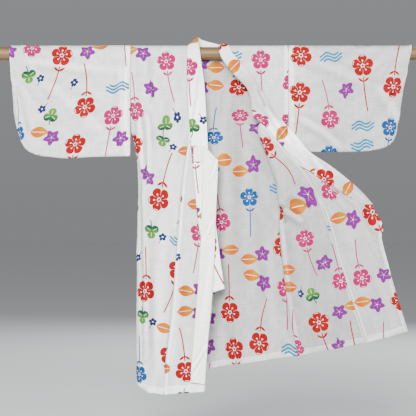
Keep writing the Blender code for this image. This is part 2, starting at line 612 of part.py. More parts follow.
def main():
    """Builds every piece of the kimono and its rod."""
    clear_scene()
    wood = finish("rod_wood", (0.42, 0.29, 0.15), 0.5)
    printed = finish("printed_cotton", (0.72, 0.73, 0.71), 0.85)
    plain = finish("plain_cotton", (0.82, 0.82, 0.79), 0.85)
    make_rod(wood)
    make_back(printed)
    make_front_right(printed)
    make_okumi_right(printed)
    make_front_left(printed)
    make_okumi_left(printed)
    make_collar(printed)
    make_tie(plain)
    make_sleeve("sleeve_right", SLEEVE_RIGHT_STATIONS, CORNER_STEPS + STRAIGHT_STEPS, printed)
    make_sleeve("sleeve_left", SLEEVE_LEFT_STATIONS, STRAIGHT_STEPS + CORNER_STEPS, printed)


main()
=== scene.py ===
"""A small child's cotton kimono, hung on a plain wooden rod with its left front opened out.

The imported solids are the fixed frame. Every cloth piece here is a thin woven shell on the form of
its solid, with its creases, hems and seam allowances, and carries the cloth's own measure as its UV
map, so that the print and the weave follow the cloth. Sizes are in millimetres unless a name ends
in _M, and are turned into metres where a mesh is made. Left and right are the wearer's.
"""

from __future__ import annotations

import logging
import math
from dataclasses import astuple, dataclass, replace
from enum import Enum
from functools import cache, reduce
from typing import Sequence

import bpy
import numpy as np
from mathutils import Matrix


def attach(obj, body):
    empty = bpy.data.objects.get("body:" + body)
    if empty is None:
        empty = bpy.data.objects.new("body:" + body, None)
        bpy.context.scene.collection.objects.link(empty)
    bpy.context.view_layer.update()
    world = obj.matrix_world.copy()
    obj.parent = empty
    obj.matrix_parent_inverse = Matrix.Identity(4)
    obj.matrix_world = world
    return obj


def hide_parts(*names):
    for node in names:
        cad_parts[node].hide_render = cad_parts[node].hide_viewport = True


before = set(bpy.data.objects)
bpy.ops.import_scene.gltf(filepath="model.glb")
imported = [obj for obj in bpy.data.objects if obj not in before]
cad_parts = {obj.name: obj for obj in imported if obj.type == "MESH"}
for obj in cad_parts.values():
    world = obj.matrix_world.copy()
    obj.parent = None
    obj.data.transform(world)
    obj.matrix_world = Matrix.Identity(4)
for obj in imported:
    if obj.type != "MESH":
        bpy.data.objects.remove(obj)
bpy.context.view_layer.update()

Tree = bpy.types.NodeTree
Socket = bpy.types.NodeSocket
Colour = tuple[float, float, float]
PaintedShadeTones = tuple[tuple[float, float], ...]

LOG = logging.getLogger("kimono")
MM = 0.001
BODY = "root"

# The rod and the cloth over it
ROD_RADIUS = 13.0
ROD_HALF_LENGTH = 450.0
HANG_RADIUS = 15.3
ARMHOLE_LEFT = -158.0
ARMHOLE_RIGHT = 156.0
ARMHOLE_TAPER = 0.055
TAPER_REACH = 60.0
SHOULDER_END = 40.0
SHOULDER_SHARES = (0.0, 0.12, 0.24, 0.36, 0.5, 0.72, 1.0)

# The shells' thickness, and the spacing of their grids
COTTON = 0.7
COLLAR_THICKNESS = 1.5
TIE_THICKNESS = 1.1
THREAD = 3.2

# Where a grid has lines beside an edge, and inside and outside the border of a doubled band
ROUNDING_MARKS = (0.0, 0.25, 0.7)
BAND_STEP = (0.5, 0.3)

# Limits: the cosine of a slant, the share of a line that one end's marks may take, and a length
MOST_SLANT = 0.98
MOST_OF_LINE = 0.42
LEAST = 1e-9


def table(*rows: Sequence[float]) -> np.ndarray:
    """Rows of numbers as one array."""
    return np.array(rows, float)


def unit(vectors: np.ndarray) -> np.ndarray:
    """The vectors of the last axis, each made one unit long."""
    return vectors / np.maximum(np.linalg.norm(vectors, axis=-1, keepdims=True), LEAST)


def read_line(place: float, places: np.ndarray, line: np.ndarray) -> np.ndarray:
    """The point of a line at one of the places that rise along it."""
    return np.array([np.interp(place, places, line[:, axis]) for axis in range(3)])


def smooth_through(points: np.ndarray, steps: int) -> np.ndarray:
    """Runs a smooth curve through points.

    Args:
        points: The points, one per entry of the first axis.
        steps: How many steps each span is given.

    Returns:
        The points of the curve, the first axis longer and the others as they were.
    """
    points = np.asarray(points, float)
    flat = points.reshape(len(points), -1, 3)
    lengths = np.linalg.norm(np.diff(flat, axis=0), axis=2).mean(axis=1)
    spans = np.sqrt(np.maximum(lengths, 1e-3))
    shape = (-1,) + (1,) * (points.ndim - 1)
    slopes = np.diff(points, axis=0) / spans.reshape(shape)
    tangents = np.empty_like(points)
    tangents[0], tangents[-1] = slopes[0], slopes[-1]
    for i in range(1, len(points) - 1):
        before, after = spans[i - 1], spans[i]
        tangents[i] = (slopes[i - 1] * after + slopes[i] * before) / (before + after)
    made = [points[0]]
    for i, span in enumerate(spans):
        for step in range(1, steps + 1):
            t = step / steps
            start = (1 + 2 * t) * (1 - t) ** 2
            leave = t * (1 - t) ** 2 * span
            end = t * t * (3 - 2 * t)
            arrive = t * t * (t - 1) * span
            made.append(
                start * points[i] + leave * tangents[i] + end * points[i + 1] + arrive * tangents[i + 1]
            )
    return np.array(made)


def lengths_along(lines: np.ndarray) -> np.ndarray:
    """The distance of each point from the first one along its line, which is the second last axis."""
    spans = np.linalg.norm(np.diff(lines, axis=-2), axis=-1)
    start = np.zeros(spans.shape[:-1] + (1,))
    return np.concatenate([start, np.cumsum(spans, axis=-1)], axis=-1)


def places_on(line: np.ndarray, places: np.ndarray) -> np.ndarray:
    """The points at the given distances along a line, which runs on straight past both its ends."""
    lengths = lengths_along(line)
    made = np.stack([np.interp(places, lengths, line[:, axis]) for axis in range(3)], axis=-1)
    made += np.minimum(places, 0.0)[:, None] * unit(line[1] - line[0])
    made += np.maximum(places - lengths[-1], 0.0)[:, None] * unit(line[-1] - line[-2])
    return made


def ease(value: np.ndarray | float, low: float, high: float) -> np.ndarray | float:
    """0 below low, 1 above high, and smooth between."""
    share = np.clip((value - low) / (high - low), 0.0, 1.0)
    return share * share * (3 - 2 * share)


def over_rod(x: float, path: float, side: float) -> tuple[float, float, float]:
    """The point path mm down the cloth from the rod's top; side is 1 behind the rod and -1 in front."""
    quarter = HANG_RADIUS * math.pi / 2
    if path < quarter:
        angle = path / HANG_RADIUS
        return (x, side * HANG_RADIUS * math.sin(angle), HANG_RADIUS * math.cos(angle))
    return (x, side * HANG_RADIUS, quarter - path)


def shoulder_row(row_share: float, xs: Sequence[float], side: float, drops: Sequence[float]) -> list:
    """One of the rows from the rod's top, or the neckline, to SHOULDER_END below the rod.

    Args:
        row_share: 0 at the first row and 1 at the last.
        xs: Where the row's points stand along the rod.
        side: 1 behind the rod and -1 in front of it.
        drops: How far down the cloth the first row starts at each of xs.

    Returns:
        The row's points.
    """
    end = HANG_RADIUS * math.pi / 2 + SHOULDER_END
    points = []
    for x, start in zip(xs, drops):
        _, y, z = over_rod(x, start + (end - start) * row_share, side)
        near = 1 - min(abs(x - ARMHOLE_LEFT), abs(x - ARMHOLE_RIGHT)) / TAPER_REACH
        points.append((x, y - side * ARMHOLE_TAPER * max(-z, 0.0) * max(near, 0.0), z))
    return points


@dataclass(frozen=True)
class Crease:
    """A soft ridge, or a trough where height is negative, along a line seen from the front.

    Sizes are in millimetres. The line runs from (start_x, start_z) to (end_x, end_z), and bow is how
    far its middle stands off to the side. RISE and FALL are the shares of its length over which it
    comes up and dies away.
    """

    start_x: float
    start_z: float
    end_x: float
    end_z: float
    height: float
    width: float
    bow: float = 0.0

    RISE = (-0.06, 0.22)
    FALL = (0.72, 1.06)

    def lift(self, x: np.ndarray, z: np.ndarray) -> np.ndarray:
        """How far the crease lifts the cloth at each place."""
        along = np.array((self.end_x - self.start_x, self.end_z - self.start_z))
        length = max(float(np.hypot(*along)), 1e-6)
        along = along / length
        run = ((x - self.start_x) * along[0] + (z - self.start_z) * along[1]) / length
        off = -(x - self.start_x) * along[1] + (z - self.start_z) * along[0]
        off = off - self.bow * 4 * run * (1 - run)
        window = ease(run, *self.RISE) * (1 - ease(run, *self.FALL))
        return self.height * window * np.exp(-((off / self.width) ** 2))


@dataclass(frozen=True)
class Bands:
    """How wide the doubled cloth is along each edge of a piece, in millimetres."""

    left: float = 0.0
    right: float = 0.0
    top: float = 0.0
    low: float = 0.0


@dataclass(frozen=True)
class Joined:
    """How far each edge of a piece is carried on into its seam, in millimetres."""

    left: float = 0.4
    right: float = 0.4
    top: float = 0.4
    low: float = 0.0


@dataclass(frozen=True)
class Seam:
    """A line of stitches along one edge of a piece, in millimetres.

    inset is how far it lies from the edge, pitch how far apart its stitches are, and first and last
    where it begins and ends.
    """

    edge: str
    inset: float
    pitch: float = 8.0
    first: float = 2.0
    last: float = 2000.0
    stitch: float = 2.2


class Lay(Enum):
    """How a piece lies on the printed cloth."""

    DOWN = "laid flat from its first edge"
    UP = "laid flat from its first edge, turned upside down"
    ROUND = "along its rows, measured from their middle, and across them"


@dataclass(frozen=True)
class Cut:
    """A piece's flat size in metres, and where it was cut from the printed cloth."""

    width: float
    length: float
    area: float
    print_u: float = 0.0
    print_v: float = 0.0
    lay: Lay = Lay.DOWN


@dataclass
class Grid:
    """A woven grid of points with its distances from the four edges, in millimetres.

    relief says how far each place is a ridge, up to 1, or a trough, down to -1; the finish paints it into
    the colour as shade and light.
    """

    points: np.ndarray
    left: np.ndarray
    right: np.ndarray
    top: np.ndarray
    low: np.ndarray
    relief: np.ndarray | None = None

    def edges(self) -> tuple[np.ndarray, np.ndarray, np.ndarray, np.ndarray]:
        """The distances from the left, right, top and low edges."""
        return self.left, self.right, self.top, self.low


def stations(length: float, near: Sequence[float], far: Sequence[float], between: int) -> np.ndarray:
    """Places along a line: at set distances from each end, and evenly spread between.

    Args:
        length: How long the line is.
        near: Rising distances from its start.
        far: Rising distances from its end.
        between: How many places are spread between them.

    Returns:
        The places as distances from the line's start.
    """
    squeeze = min(1.0, MOST_OF_LINE * length / max(near[-1], far[-1], 1e-6))
    first = np.array(near) * squeeze
    last = length - np.array(far)[::-1] * squeeze
    return np.concatenate([first, np.linspace(first[-1], last[0], between + 2)[1:-1], last])


def edge_marks(band: float, carried: float) -> list[float]:
    """Distances from an edge at which the grid has a line: for its rounding and its doubled band."""
    marks = [mark - carried for mark in ROUNDING_MARKS]
    if band > 0:
        marks += [band - BAND_STEP[0], band + BAND_STEP[1]]
    return marks


def respaced(lines: np.ndarray, near: Sequence[float], far: Sequence[float], spacing: float) -> np.ndarray:
    """The lines with points at set distances from both ends and an even spacing between."""
    lengths = lengths_along(lines)[:, -1]
    between = max(int(lengths.max() / spacing), 3)
    return np.array(
        [places_on(line, stations(run, near, far, between)) for line, run in zip(lines, lengths)]
    )


def woven(rows: np.ndarray, bands: Bands, joined: Joined, thread: float) -> Grid:
    """Turns the sections of a piece into an even grid of points.

    Args:
        rows: The sections, from the piece's top to its low edge, each from left to right.
        bands: The doubled bands, whose borders get grid lines of their own.
        joined: How far each edge is carried on.
        thread: The spacing of the grid.

    Returns:
        The grid.
    """
    dense = smooth_through(smooth_through(rows, 6).swapaxes(0, 1), 6).swapaxes(0, 1)
    sides = edge_marks(bands.left, joined.left), edge_marks(bands.right, joined.right)
    ends = edge_marks(bands.top, joined.top), edge_marks(bands.low, joined.low)
    columns = respaced(dense, *sides, thread).swapaxes(0, 1)
    down = respaced(columns, *ends, thread * 1.25)
    points = down.swapaxes(0, 1)
    over = lengths_along(points)
    under = lengths_along(down).T
    return Grid(
        points,
        over - joined.left,
        over[:, -1:] - over - joined.right,
        under - joined.top,
        under[-1:, :] - under - joined.low,
    )


def grid_normals(points: np.ndarray) -> np.ndarray:
    """The unit normal at each point of a grid."""
    return unit(np.cross(np.gradient(points, axis=1), np.gradient(points, axis=0)))


def evened(values: np.ndarray) -> np.ndarray:
    """The values smoothed a little along their first axis."""
    weights = np.array((1.0, 2.0, 3.0, 4.0, 3.0, 2.0, 1.0)) / 16
    padded = np.pad(values, ((3, 3), (0, 0)), mode="reflect", reflect_type="odd")
    return np.stack([np.convolve(padded[:, axis], weights, mode="valid") for axis in range(2)], axis=-1)


def read_at(values: np.ndarray, places: np.ndarray, wanted: np.ndarray) -> np.ndarray:
    """Values that stand at some places down each column, read at other places of the same column."""
    out = np.empty((*wanted.shape, values.shape[-1]))
    for column in range(values.shape[1]):
        for axis in range(values.shape[-1]):
            out[:, column, axis] = np.interp(wanted[:, column], places[:, column], values[:, column, axis])
    return out


def laid_flat(made: Grid) -> np.ndarray:
    """Where each place of a hung piece lies on the flat cloth.

    The first column is laid out straight. Each next column is set off from it by the same lengths
    and angles as on the hung piece, evened as it goes.

    Args:
        made: The piece's grid.

    Returns:
        The flat places, across and down, in the same unit.
    """
    even = np.linspace(made.top[0], made.top[-1], len(made.top))
    points = read_at(made.points, made.top, even)
    plain = read_at(np.stack([made.left, made.top], axis=-1), made.top, even)
    down = unit(np.gradient(points, axis=0))
    flat = plain.copy()
    for column in range(points.shape[1] - 1):
        step = points[:, column + 1] - points[:, column]
        length = np.maximum(np.linalg.norm(step, axis=-1, keepdims=True), LEAST)
        cosine = np.einsum("ij,ij->i", step, down[:, column])[:, None] / length
        cosine = np.clip(cosine, -MOST_SLANT, MOST_SLANT)
        run = unit(evened(np.gradient(flat[:, column], axis=0)))
        across = np.stack([run[:, 1], -run[:, 0]], axis=-1)
        place = flat[:, column] + length * (run * cosine + across * np.sqrt(1 - cosine**2))
        flat[:, column + 1] = plain[:, column + 1] + evened(place - plain[:, column + 1])
    return read_at(flat, even, made.top)


def feed(tree: Tree, socket: Socket, value: Wire | Socket | float | tuple) -> None:
    """Gives an input its value: a link from a wire or a socket, or a number, a vector or a colour."""
    if isinstance(value, Wire):
        value = value.socket
    if isinstance(value, Socket):
        tree.links.new(value, socket)
    elif socket.type == "RGBA":
        socket.default_value = (*value, 1.0)
    else:
        socket.default_value = value


class Wire:
    """A number inside a shader tree. Arithmetic on it adds Math nodes."""

    def __init__(self, tree: Tree, socket: Socket) -> None:
        """Keeps the tree and the socket that gives the number."""
        self.tree = tree
        self.socket = socket

    def math(self, operation: str, *others: Wire | float, clamp: bool = False) -> Wire:
        """Adds one Math node that takes this number first, and keeps its result in 0 to 1 on clamp."""
        node = self.tree.nodes.new("ShaderNodeMath")
        node.operation = operation
        node.use_clamp = clamp
        for socket, value in zip(node.inputs, (self, *others)):
            feed(self.tree, socket, value)
        return Wire(self.tree, node.outputs[0])

    def __add__(self, other: Wire | float) -> Wire:
        """The sum."""
        return self.math("ADD", other)

    def __sub__(self, other: Wire | float) -> Wire:
        """The difference."""
        return self.math("SUBTRACT", other)

    def __rsub__(self, other: float) -> Wire:
        """The difference from a plain number."""
        return self.math("MULTIPLY_ADD", -1.0, other)

    def __mul__(self, other: Wire | float) -> Wire:
        """The product."""
        return self.math("MULTIPLY", other)

    def __truediv__(self, other: Wire | float) -> Wire:
        """The quotient."""
        return self.math("DIVIDE", other)

    def absolute(self) -> Wire:
        """The number without its sign."""
        return self.math("ABSOLUTE")

    def within(self, softness: float) -> Wire:
        """1 where this distance is above 0, 0 below, with a soft step as wide as softness."""
        return self.math("MULTIPLY_ADD", 1.0 / softness, 0.5, clamp=True)

    def over(self, limit: float) -> Wire:
        """1 where the number is above a limit, and 0 elsewhere."""
        return self.math("GREATER_THAN", limit)

    def under(self, limit: float) -> Wire:
        """1 where the number is below a limit, and 0 elsewhere."""
        return self.math("LESS_THAN", limit)

    def between(self, low: float, high: float) -> Wire:
        """1 where the number is between two limits, and 0 elsewhere."""
        return self.over(low) * self.under(high)

    def stripe(self, half: float, softness: float) -> Wire:
        """1 where the number is nearer to 0 than half, with a soft step at both sides."""
        return (half - self.absolute()).within(softness)

    def either(self, other: Wire | float) -> Wire:
        """The larger of two numbers or masks."""
        return self.math("MAXIMUM", other)

    def chosen(self, low: float, high: float) -> Wire:
        """low where this number is 0 and high where it is 1."""
        return self.math("MULTIPLY_ADD", high - low, low)


@dataclass(frozen=True)
class Place:
    """A place on the cloth, as two numbers in metres."""

    x: Wire
    y: Wire

    def moved(self, x: Wire | float, y: Wire | float) -> Place:
        """The same place, measured from another point."""
        return Place(self.x - x, self.y - y)

    def distance(self) -> Wire:
        """How far the place is from the origin."""
        return (self.x * self.x + self.y * self.y).math("SQRT")

    def turned(self, angle: Wire) -> Place:
        """The place turned by a small angle."""
        return Place(self.x + self.y * angle, self.y - self.x * angle)


class Shading:
    """A shader tree, with the nodes that its groups, finishes and surround are made of."""

    def __init__(self, tree: Tree) -> None:
        """Keeps the tree."""
        self.tree = tree

    def node(self, kind: str, inputs: dict | None = None, **settings: object) -> bpy.types.Node:
        """Adds a node.

        Args:
            kind: The end of its type's name, after ShaderNode.
            inputs: What its inputs are given, by their name or number.
            settings: Its own settings.

        Returns:
            The node.
        """
        node = self.tree.nodes.new("ShaderNode" + kind)
        for title, value in settings.items():
            setattr(node, title, value)
        for title, value in (inputs or {}).items():
            feed(self.tree, node.inputs[title], value)
        return node

    def split(self, vector: Socket) -> tuple[Wire, Wire, Wire]:
        """The three numbers of a vector."""
        return tuple(Wire(self.tree, output) for output in self.node("SeparateXYZ", {0: vector}).outputs)

    def joined(self, *numbers: Wire | float) -> Socket:
        """A vector of up to three numbers."""
        return self.node("CombineXYZ", dict(enumerate(numbers))).outputs[0]

    def noise(self, vector: Socket, scale: float, detail: float, roughness: float = 0.5) -> Wire:
        """A noise over the vector, around 0.5."""
        inputs = {"Vector": vector, "Scale": scale, "Detail": detail, "Roughness": roughness}
        return Wire(self.tree, self.node("TexNoise", inputs).outputs["Fac"])

    def blended(self, share: Wire | Socket, under: Socket | Colour, over: Socket | Colour) -> Socket:
        """A colour laid over another where share is 1."""
        return self.node("Mix", {"Factor": share, 6: under, 7: over}, data_type="RGBA").outputs[2]

    def ramp(self, share: Wire, steps: Sequence[tuple[float, Colour]], blend: str = "LINEAR") -> Socket:
        """A colour picked from a row of colours, each at its own share."""
        node = self.node("ValToRGB", {0: share})
        node.color_ramp.interpolation = blend
        elements = node.color_ramp.elements
        while len(elements) < len(steps):
            elements.new(1.0)
        for element, (position, colour) in zip(elements, steps):
            element.position = position
            element.color = (*colour, 1.0)
        return node.outputs[0]

    def shaded(self, colour: Socket | Colour, shade: Wire) -> Socket:
        """A colour made lighter or darker by a number."""
        return self.node("HueSaturation", {"Value": shade, "Color": colour}).outputs[0]


class ShaderGroup(Shading):
    """A shader node group with named inputs and outputs, built once and used by several finishes."""

    def __init__(
        self, name: str, vectors: Sequence[str], numbers: dict[str, float], outputs: Sequence[str]
    ) -> None:
        """Makes the group's sockets.

        Args:
            name: The group's name.
            vectors: The names of its vector inputs.
            numbers: The names and values of its number inputs.
            outputs: The names of its outputs, of which Color is a colour and the others are numbers.
        """
        super().__init__(bpy.data.node_groups.new(name, "ShaderNodeTree"))
        for title in vectors:
            self.tree.interface.new_socket(title, in_out="INPUT", socket_type="NodeSocketVector")
        for title, value in numbers.items():
            socket = self.tree.interface.new_socket(title, in_out="INPUT", socket_type="NodeSocketFloat")
            socket.default_value = value
        for title in outputs:
            kind = "NodeSocketColor" if title == "Color" else "NodeSocketFloat"
            self.tree.interface.new_socket(title, in_out="OUTPUT", socket_type=kind)
        self.start = self.tree.nodes.new("NodeGroupInput")
        self.end = self.tree.nodes.new("NodeGroupOutput")

    def dice(self, *numbers: Wire | float) -> tuple[Wire, Wire, Wire]:
        """Three random numbers from 0 to 1, the same wherever the given numbers are the same."""
        node = self.node("TexWhiteNoise", {"Vector": self.joined(*numbers)}, noise_dimensions="3D")
        return self.split(node.outputs["Color"])

    def give(self, title: str, value: Wire | Socket) -> None:
        """Sends a result out of the group."""
        feed(self.tree, self.end.inputs[title], value)


class Ink(Enum):
    """The colours that the cloth is printed with, and the bare cloth between them."""

    RED = (0.21, 0.0002, 0.0006)
    MAGENTA = (0.245, 0.0008, 0.062)
    BLUE = (0.002, 0.042, 0.15)
    PURPLE = (0.115, 0.006, 0.13)
    PLUM = (0.070, 0.008, 0.085)
    ORANGE = (0.34, 0.07, 0.0001)
    YELLOW = (0.36, 0.14, 0.0001)
    CYAN = (0.0005, 0.12, 0.24)
    LEAF = (0.05, 0.16, 0.014)
    FOREST = (0.003, 0.045, 0.017)
    NAVY = (0.005, 0.01, 0.06)
    WHITE = (0.62, 0.63, 0.62)


class PrintGroup(ShaderGroup):
    """A tossed print of flowers on stems, bellflowers, leaves, clover, running water and buds.

    The cloth is divided into upright cells. Each holds two flowers, one up and one upside down,
    whose stems pass side by side, with small motifs between them and beyond the stems' ends.
    Sizes here are in metres.
    """

    CELL_WIDTH_M = 0.122
    CELL_HEIGHT_M = 0.176
    CELL_DROP_M = -0.057
    EDGE_M = 0.0006
    PETALS = 5
    MOTTLE_SCALE = 900.0
    BLUE_FROM = 0.82
    LEAF_BELOW = 0.5
    CLOVER_FROM = 0.76
    BLOSSOM_FROM = 0.55
    LEAF_COSINE = 0.79
    LEAF_SINE = 0.61

    def __init__(self) -> None:
        """Builds the group."""
        super().__init__("Tossed print", ("Vector",), {}, ("Color", "Mask"))
        self.layers: list[tuple[Wire, Socket | Colour]] = []
        self.lay_out()
        self.blend_layers()

    def draw(self, mask: Wire, ink: Ink | Socket) -> None:
        """Adds one layer of ink over the ones before it."""
        self.layers.append((mask, ink.value if isinstance(ink, Ink) else ink))

    def lay_out(self) -> None:
        """Finds the cell, turns it over at random and draws each motif in its place."""
        u, v, _ = self.split(self.start.outputs["Vector"])
        column = (u / self.CELL_WIDTH_M).math("FLOOR")
        fallen = v + column * self.CELL_DROP_M
        row = (fallen / self.CELL_HEIGHT_M).math("FLOOR")
        x = u - (column + 0.5) * self.CELL_WIDTH_M
        y = (row + 0.5) * self.CELL_HEIGHT_M - fallen
        mirrored, kind, shift = self.dice(column, row, 0.3)
        x = x * mirrored.over(0.5).chosen(1.0, -1.0)
        side = x.over(0.0)
        turn = side.chosen(1.0, -1.0)
        here = Place(x * turn, y * turn)
        colour_pick, tilt_pick, size_pick = self.dice(column, row, side)
        shift_x, shift_y, pair_pick = self.dice(row, side, column)
        nudge = Place(shift_x * 0.008 - 0.004, shift_y * 0.012 - 0.006)
        tilt = tilt_pick * 0.3 - 0.15
        flower = here.moved(-0.031, 0.052).moved(nudge.x, nudge.y).turned(tilt)
        self.flower(flower, colour_pick, tilt_pick, size_pick)
        gap = here.moved(-0.033, -0.068).moved(nudge.y * 0.6, nudge.x * 0.6).turned(tilt * 1.6)
        middle = Place(x - nudge.x * 0.7, y - nudge.y).turned(tilt * -1.8)
        self.leaf(gap.moved(-0.010, -0.003), pair_pick.under(self.LEAF_BELOW))
        self.bellflower(gap.moved(0.017, 0.007), pair_pick.under(self.LEAF_BELOW))
        self.water(gap, pair_pick.between(self.LEAF_BELOW, self.CLOVER_FROM))
        self.clover(gap.moved(0.003, 0.0), pair_pick.over(self.CLOVER_FROM))
        self.small_blossom(gap.moved(-0.020, 0.010), pair_pick.over(self.CLOVER_FROM))
        low = kind.under(0.5)
        self.bellflower(middle.moved(0.0, -0.005), low)
        self.small_blossom(middle.moved(0.0, 0.003), (1.0 - low) * shift.over(self.BLOSSOM_FROM))

    def wheel(self, at: Place, petals: int, start: float) -> tuple[Wire, Wire, Wire, Wire]:
        """Divides the turn round a place into petals.

        Args:
            at: The place.
            petals: How many petals there are.
            start: The angle of the first petal, in radians.

        Returns:
            The distance from the middle, a wave that is 1 on a petal's middle line and 0 between two
            petals, and the place along and across the nearest middle line.
        """
        reach = at.distance()
        angle = at.y.math("ARCTAN2", at.x) - start
        step = 2 * math.pi / petals
        off = angle - (angle / step).math("ROUND") * step
        lobe = (off * (petals / 2)).math("COSINE").math("MAXIMUM", 0.0)
        return reach, lobe, reach * off.math("COSINE"), reach * off.math("SINE")

    def flower(self, at: Place, colour: Wire, bend: Wire, size: Wire) -> None:
        """A five-petalled blossom with its stamens, two small leaves and a long stem."""
        scale = colour.over(0.5).chosen(1.0, 0.88) + size * 0.06
        x = at.x / scale
        y = at.y / scale
        reach, lobe, along, across = self.wheel(Place(x, y), self.PETALS, math.pi / 2)
        edge = lobe.math("POWER", 0.42) * 0.0085 + 0.0128
        steps = ((0.0, Ink.RED.value), (0.5, Ink.MAGENTA.value), (self.BLUE_FROM, Ink.BLUE.value))
        ink = self.ramp(colour, steps, "CONSTANT")
        self.draw((edge - reach).within(self.EDGE_M), ink)
        cleft = (0.00035 - (lobe * 0.010)).within(0.0006) * (0.0165 - reach).over(0.0) * reach.over(0.007)
        anther = 0.0013 - Place(along - 0.0098, across).distance()
        thread = across.stripe(0.00015, 0.0005) * along.between(0.0036, 0.0098)
        eye = (reach - 0.0030).stripe(0.0006, 0.0005)
        pale = anther.within(0.0005).either(thread).either(eye).either(cleft * 0.8)
        shine = (edge - reach - 0.0024).stripe(0.0005, 0.0005)
        shine = shine * (0.0034 - across.absolute()).over(0.0) * (x * 0.8 + y).over(0.006)
        self.draw(pale.either(shine), Ink.WHITE)
        down = -0.0215 - y
        out, low = x.absolute(), down - 0.0100
        cosine, sine = self.LEAF_COSINE, self.LEAF_SINE
        leaf = Place(out * cosine - low * sine, out * sine + low * cosine)
        share = (leaf.x - 0.0070) / 0.0070
        blade = ((1.0 - share * share) * 0.0025 - leaf.y.absolute()).within(self.EDGE_M)
        run = down / 0.066
        swing = run * run * (bend * 0.020 - 0.010)
        stem = (x - swing).stripe(0.0015, self.EDGE_M) * run.between(0.0, 1.0)
        self.draw(blade.either(stem) * down.over(0.0), ink)

    def bellflower(self, at: Place, shown: Wire) -> None:
        """A small pointed bellflower, darker at its edge."""
        reach, lobe, along, across = self.wheel(at, self.PETALS, math.pi / 2)
        edge = lobe * lobe * 0.0058 + 0.0108
        depth = edge - reach
        self.draw(depth.within(self.EDGE_M) * shown, Ink.PLUM)
        self.draw((depth - 0.0010).within(0.0008) * shown, Ink.PURPLE)
        vein = across.stripe(0.0001, 0.0004) * along.between(0.0020, 0.0075)
        self.draw(vein.either((0.0012 - reach).within(0.0004)) * shown, Ink.WHITE)

    def leaf(self, at: Place, shown: Wire) -> None:
        """A broad leaf with its midrib, yellow towards its tip."""
        share = at.x / 0.0185
        half = (1.0 - share * share) * (0.0112 - at.x * 0.12)
        body = (half - at.y.absolute()).within(self.EDGE_M) * share.absolute().under(1.0)
        steps = ((0.25, Ink.ORANGE.value), (0.85, Ink.YELLOW.value))
        warm = self.ramp(at.x * 24.0 + 0.5, steps, "EASE")
        self.draw(body * shown, warm)
        rib = at.y.stripe(0.0004, 0.0005) * (0.011 - at.x).over(0.0) * at.x.over(-0.014)
        self.draw(rib * body * shown, Ink.WHITE)

    def water(self, at: Place, shown: Wire) -> None:
        """Three lines of running water."""
        wave = (at.x * (2 * math.pi / 0.031)).math("SINE") * 0.0034
        line = (at.y - wave) / 0.0066
        number = line.math("ROUND")
        stroke = (0.0024 - (line - number).absolute() * 0.0066).within(self.EDGE_M)
        ends = (0.0235 - number.absolute() * 0.004 - (at.x - number * 0.003).absolute()).over(0.0)
        self.draw(stroke * ends * line.absolute().under(1.5) * shown, Ink.CYAN)

    def clover(self, at: Place, shown: Wire) -> None:
        """A clover of three round leaves, lighter at its top, on a short stem."""
        reach, lobe, along, across = self.wheel(at, 3, math.pi / 2)
        edge = lobe.math("POWER", 0.36) * 0.0135 + 0.0022
        notch = (0.0016 - Place(along - 0.0168, across).distance()).within(0.0006)
        stem = (at.x - at.y * at.y * 9.0).stripe(0.0013, self.EDGE_M)
        stem = stem * at.y.between(-0.0225, -0.002)
        self.draw(stem * shown, Ink.FOREST)
        steps = ((0.25, Ink.FOREST.value), (0.65, Ink.LEAF.value))
        green = self.ramp(at.y * 28.0 + 0.5, steps, "EASE")
        self.draw((edge - reach).within(self.EDGE_M) * (1.0 - notch) * shown, green)
        vein = across.stripe(0.0004, 0.0005) * along.between(0.003, 0.0115)
        self.draw(vein * shown, Ink.WHITE)

    def small_blossom(self, at: Place, shown: Wire) -> None:
        """A small solid blossom of five round petals and its short stalk."""
        reach, lobe, _, _ = self.wheel(at, self.PETALS, -math.pi / 2)
        edge = lobe.math("POWER", 0.4) * 0.0045 + 0.0040
        self.draw((edge - reach).within(self.EDGE_M) * shown, Ink.NAVY)
        self.draw((0.0016 - reach).within(0.0005) * shown, Ink.WHITE)
        stalk = (at.x - at.y * 0.5).stripe(0.0011, self.EDGE_M)
        stalk = stalk * at.y.between(0.007, 0.0145)
        self.draw(stalk * shown, Ink.NAVY)

    def blend_layers(self) -> None:
        """Lays the motifs over each other, mottled as ink is on woven cloth."""
        colour: Socket | Colour = (1.0, 1.0, 1.0)
        for share, ink in self.layers:
            colour = self.blended(share, colour, ink)
        mottle = self.noise(self.start.outputs["Vector"], self.MOTTLE_SCALE, 3.0)
        self.give("Color", self.shaded(colour, mottle * 0.5 + 0.75))
        self.give("Mask", reduce(Wire.either, (share for share, _ in self.layers)))


class WeaveGroup(ShaderGroup):
    """A plain weave of slightly uneven threads, as a shade and a height."""

    THREAD_M = 0.00055
    SLUB_THIN = 430.0
    SLUB_LONG = 15.0
    CLOUD_SCALE = 24.0

    def __init__(self) -> None:
        """Builds the group."""
        super().__init__("Slub weave", ("Vector",), {"Slub": 0.05}, ("Shade", "Height"))
        vector = self.start.outputs["Vector"]
        u, v, _ = self.split(vector)
        warp = self.noise(self.joined(u * self.SLUB_THIN, v * self.SLUB_LONG, 0.0), 1.0, 3.0)
        weft = self.noise(self.joined(u * self.SLUB_LONG, v * self.SLUB_THIN, 5.0), 1.0, 3.0)
        slub = (warp + weft) * 0.5 + warp.either(weft) * 0.5 - 1.0 + 0.23
        cloudy = self.noise(vector, self.CLOUD_SCALE, 3.0)
        over, under = ((way * (math.pi / self.THREAD_M)).math("SINE") for way in (u, v))
        cross = (over * under).absolute()
        uneven = slub * Wire(self.tree, self.start.outputs["Slub"]) + 1.0
        self.give("Shade", uneven + (cloudy - 0.5) * 0.14 + (cross - 0.4) * 0.03)
        self.give("Height", slub * 0.6 + cross * 0.4)


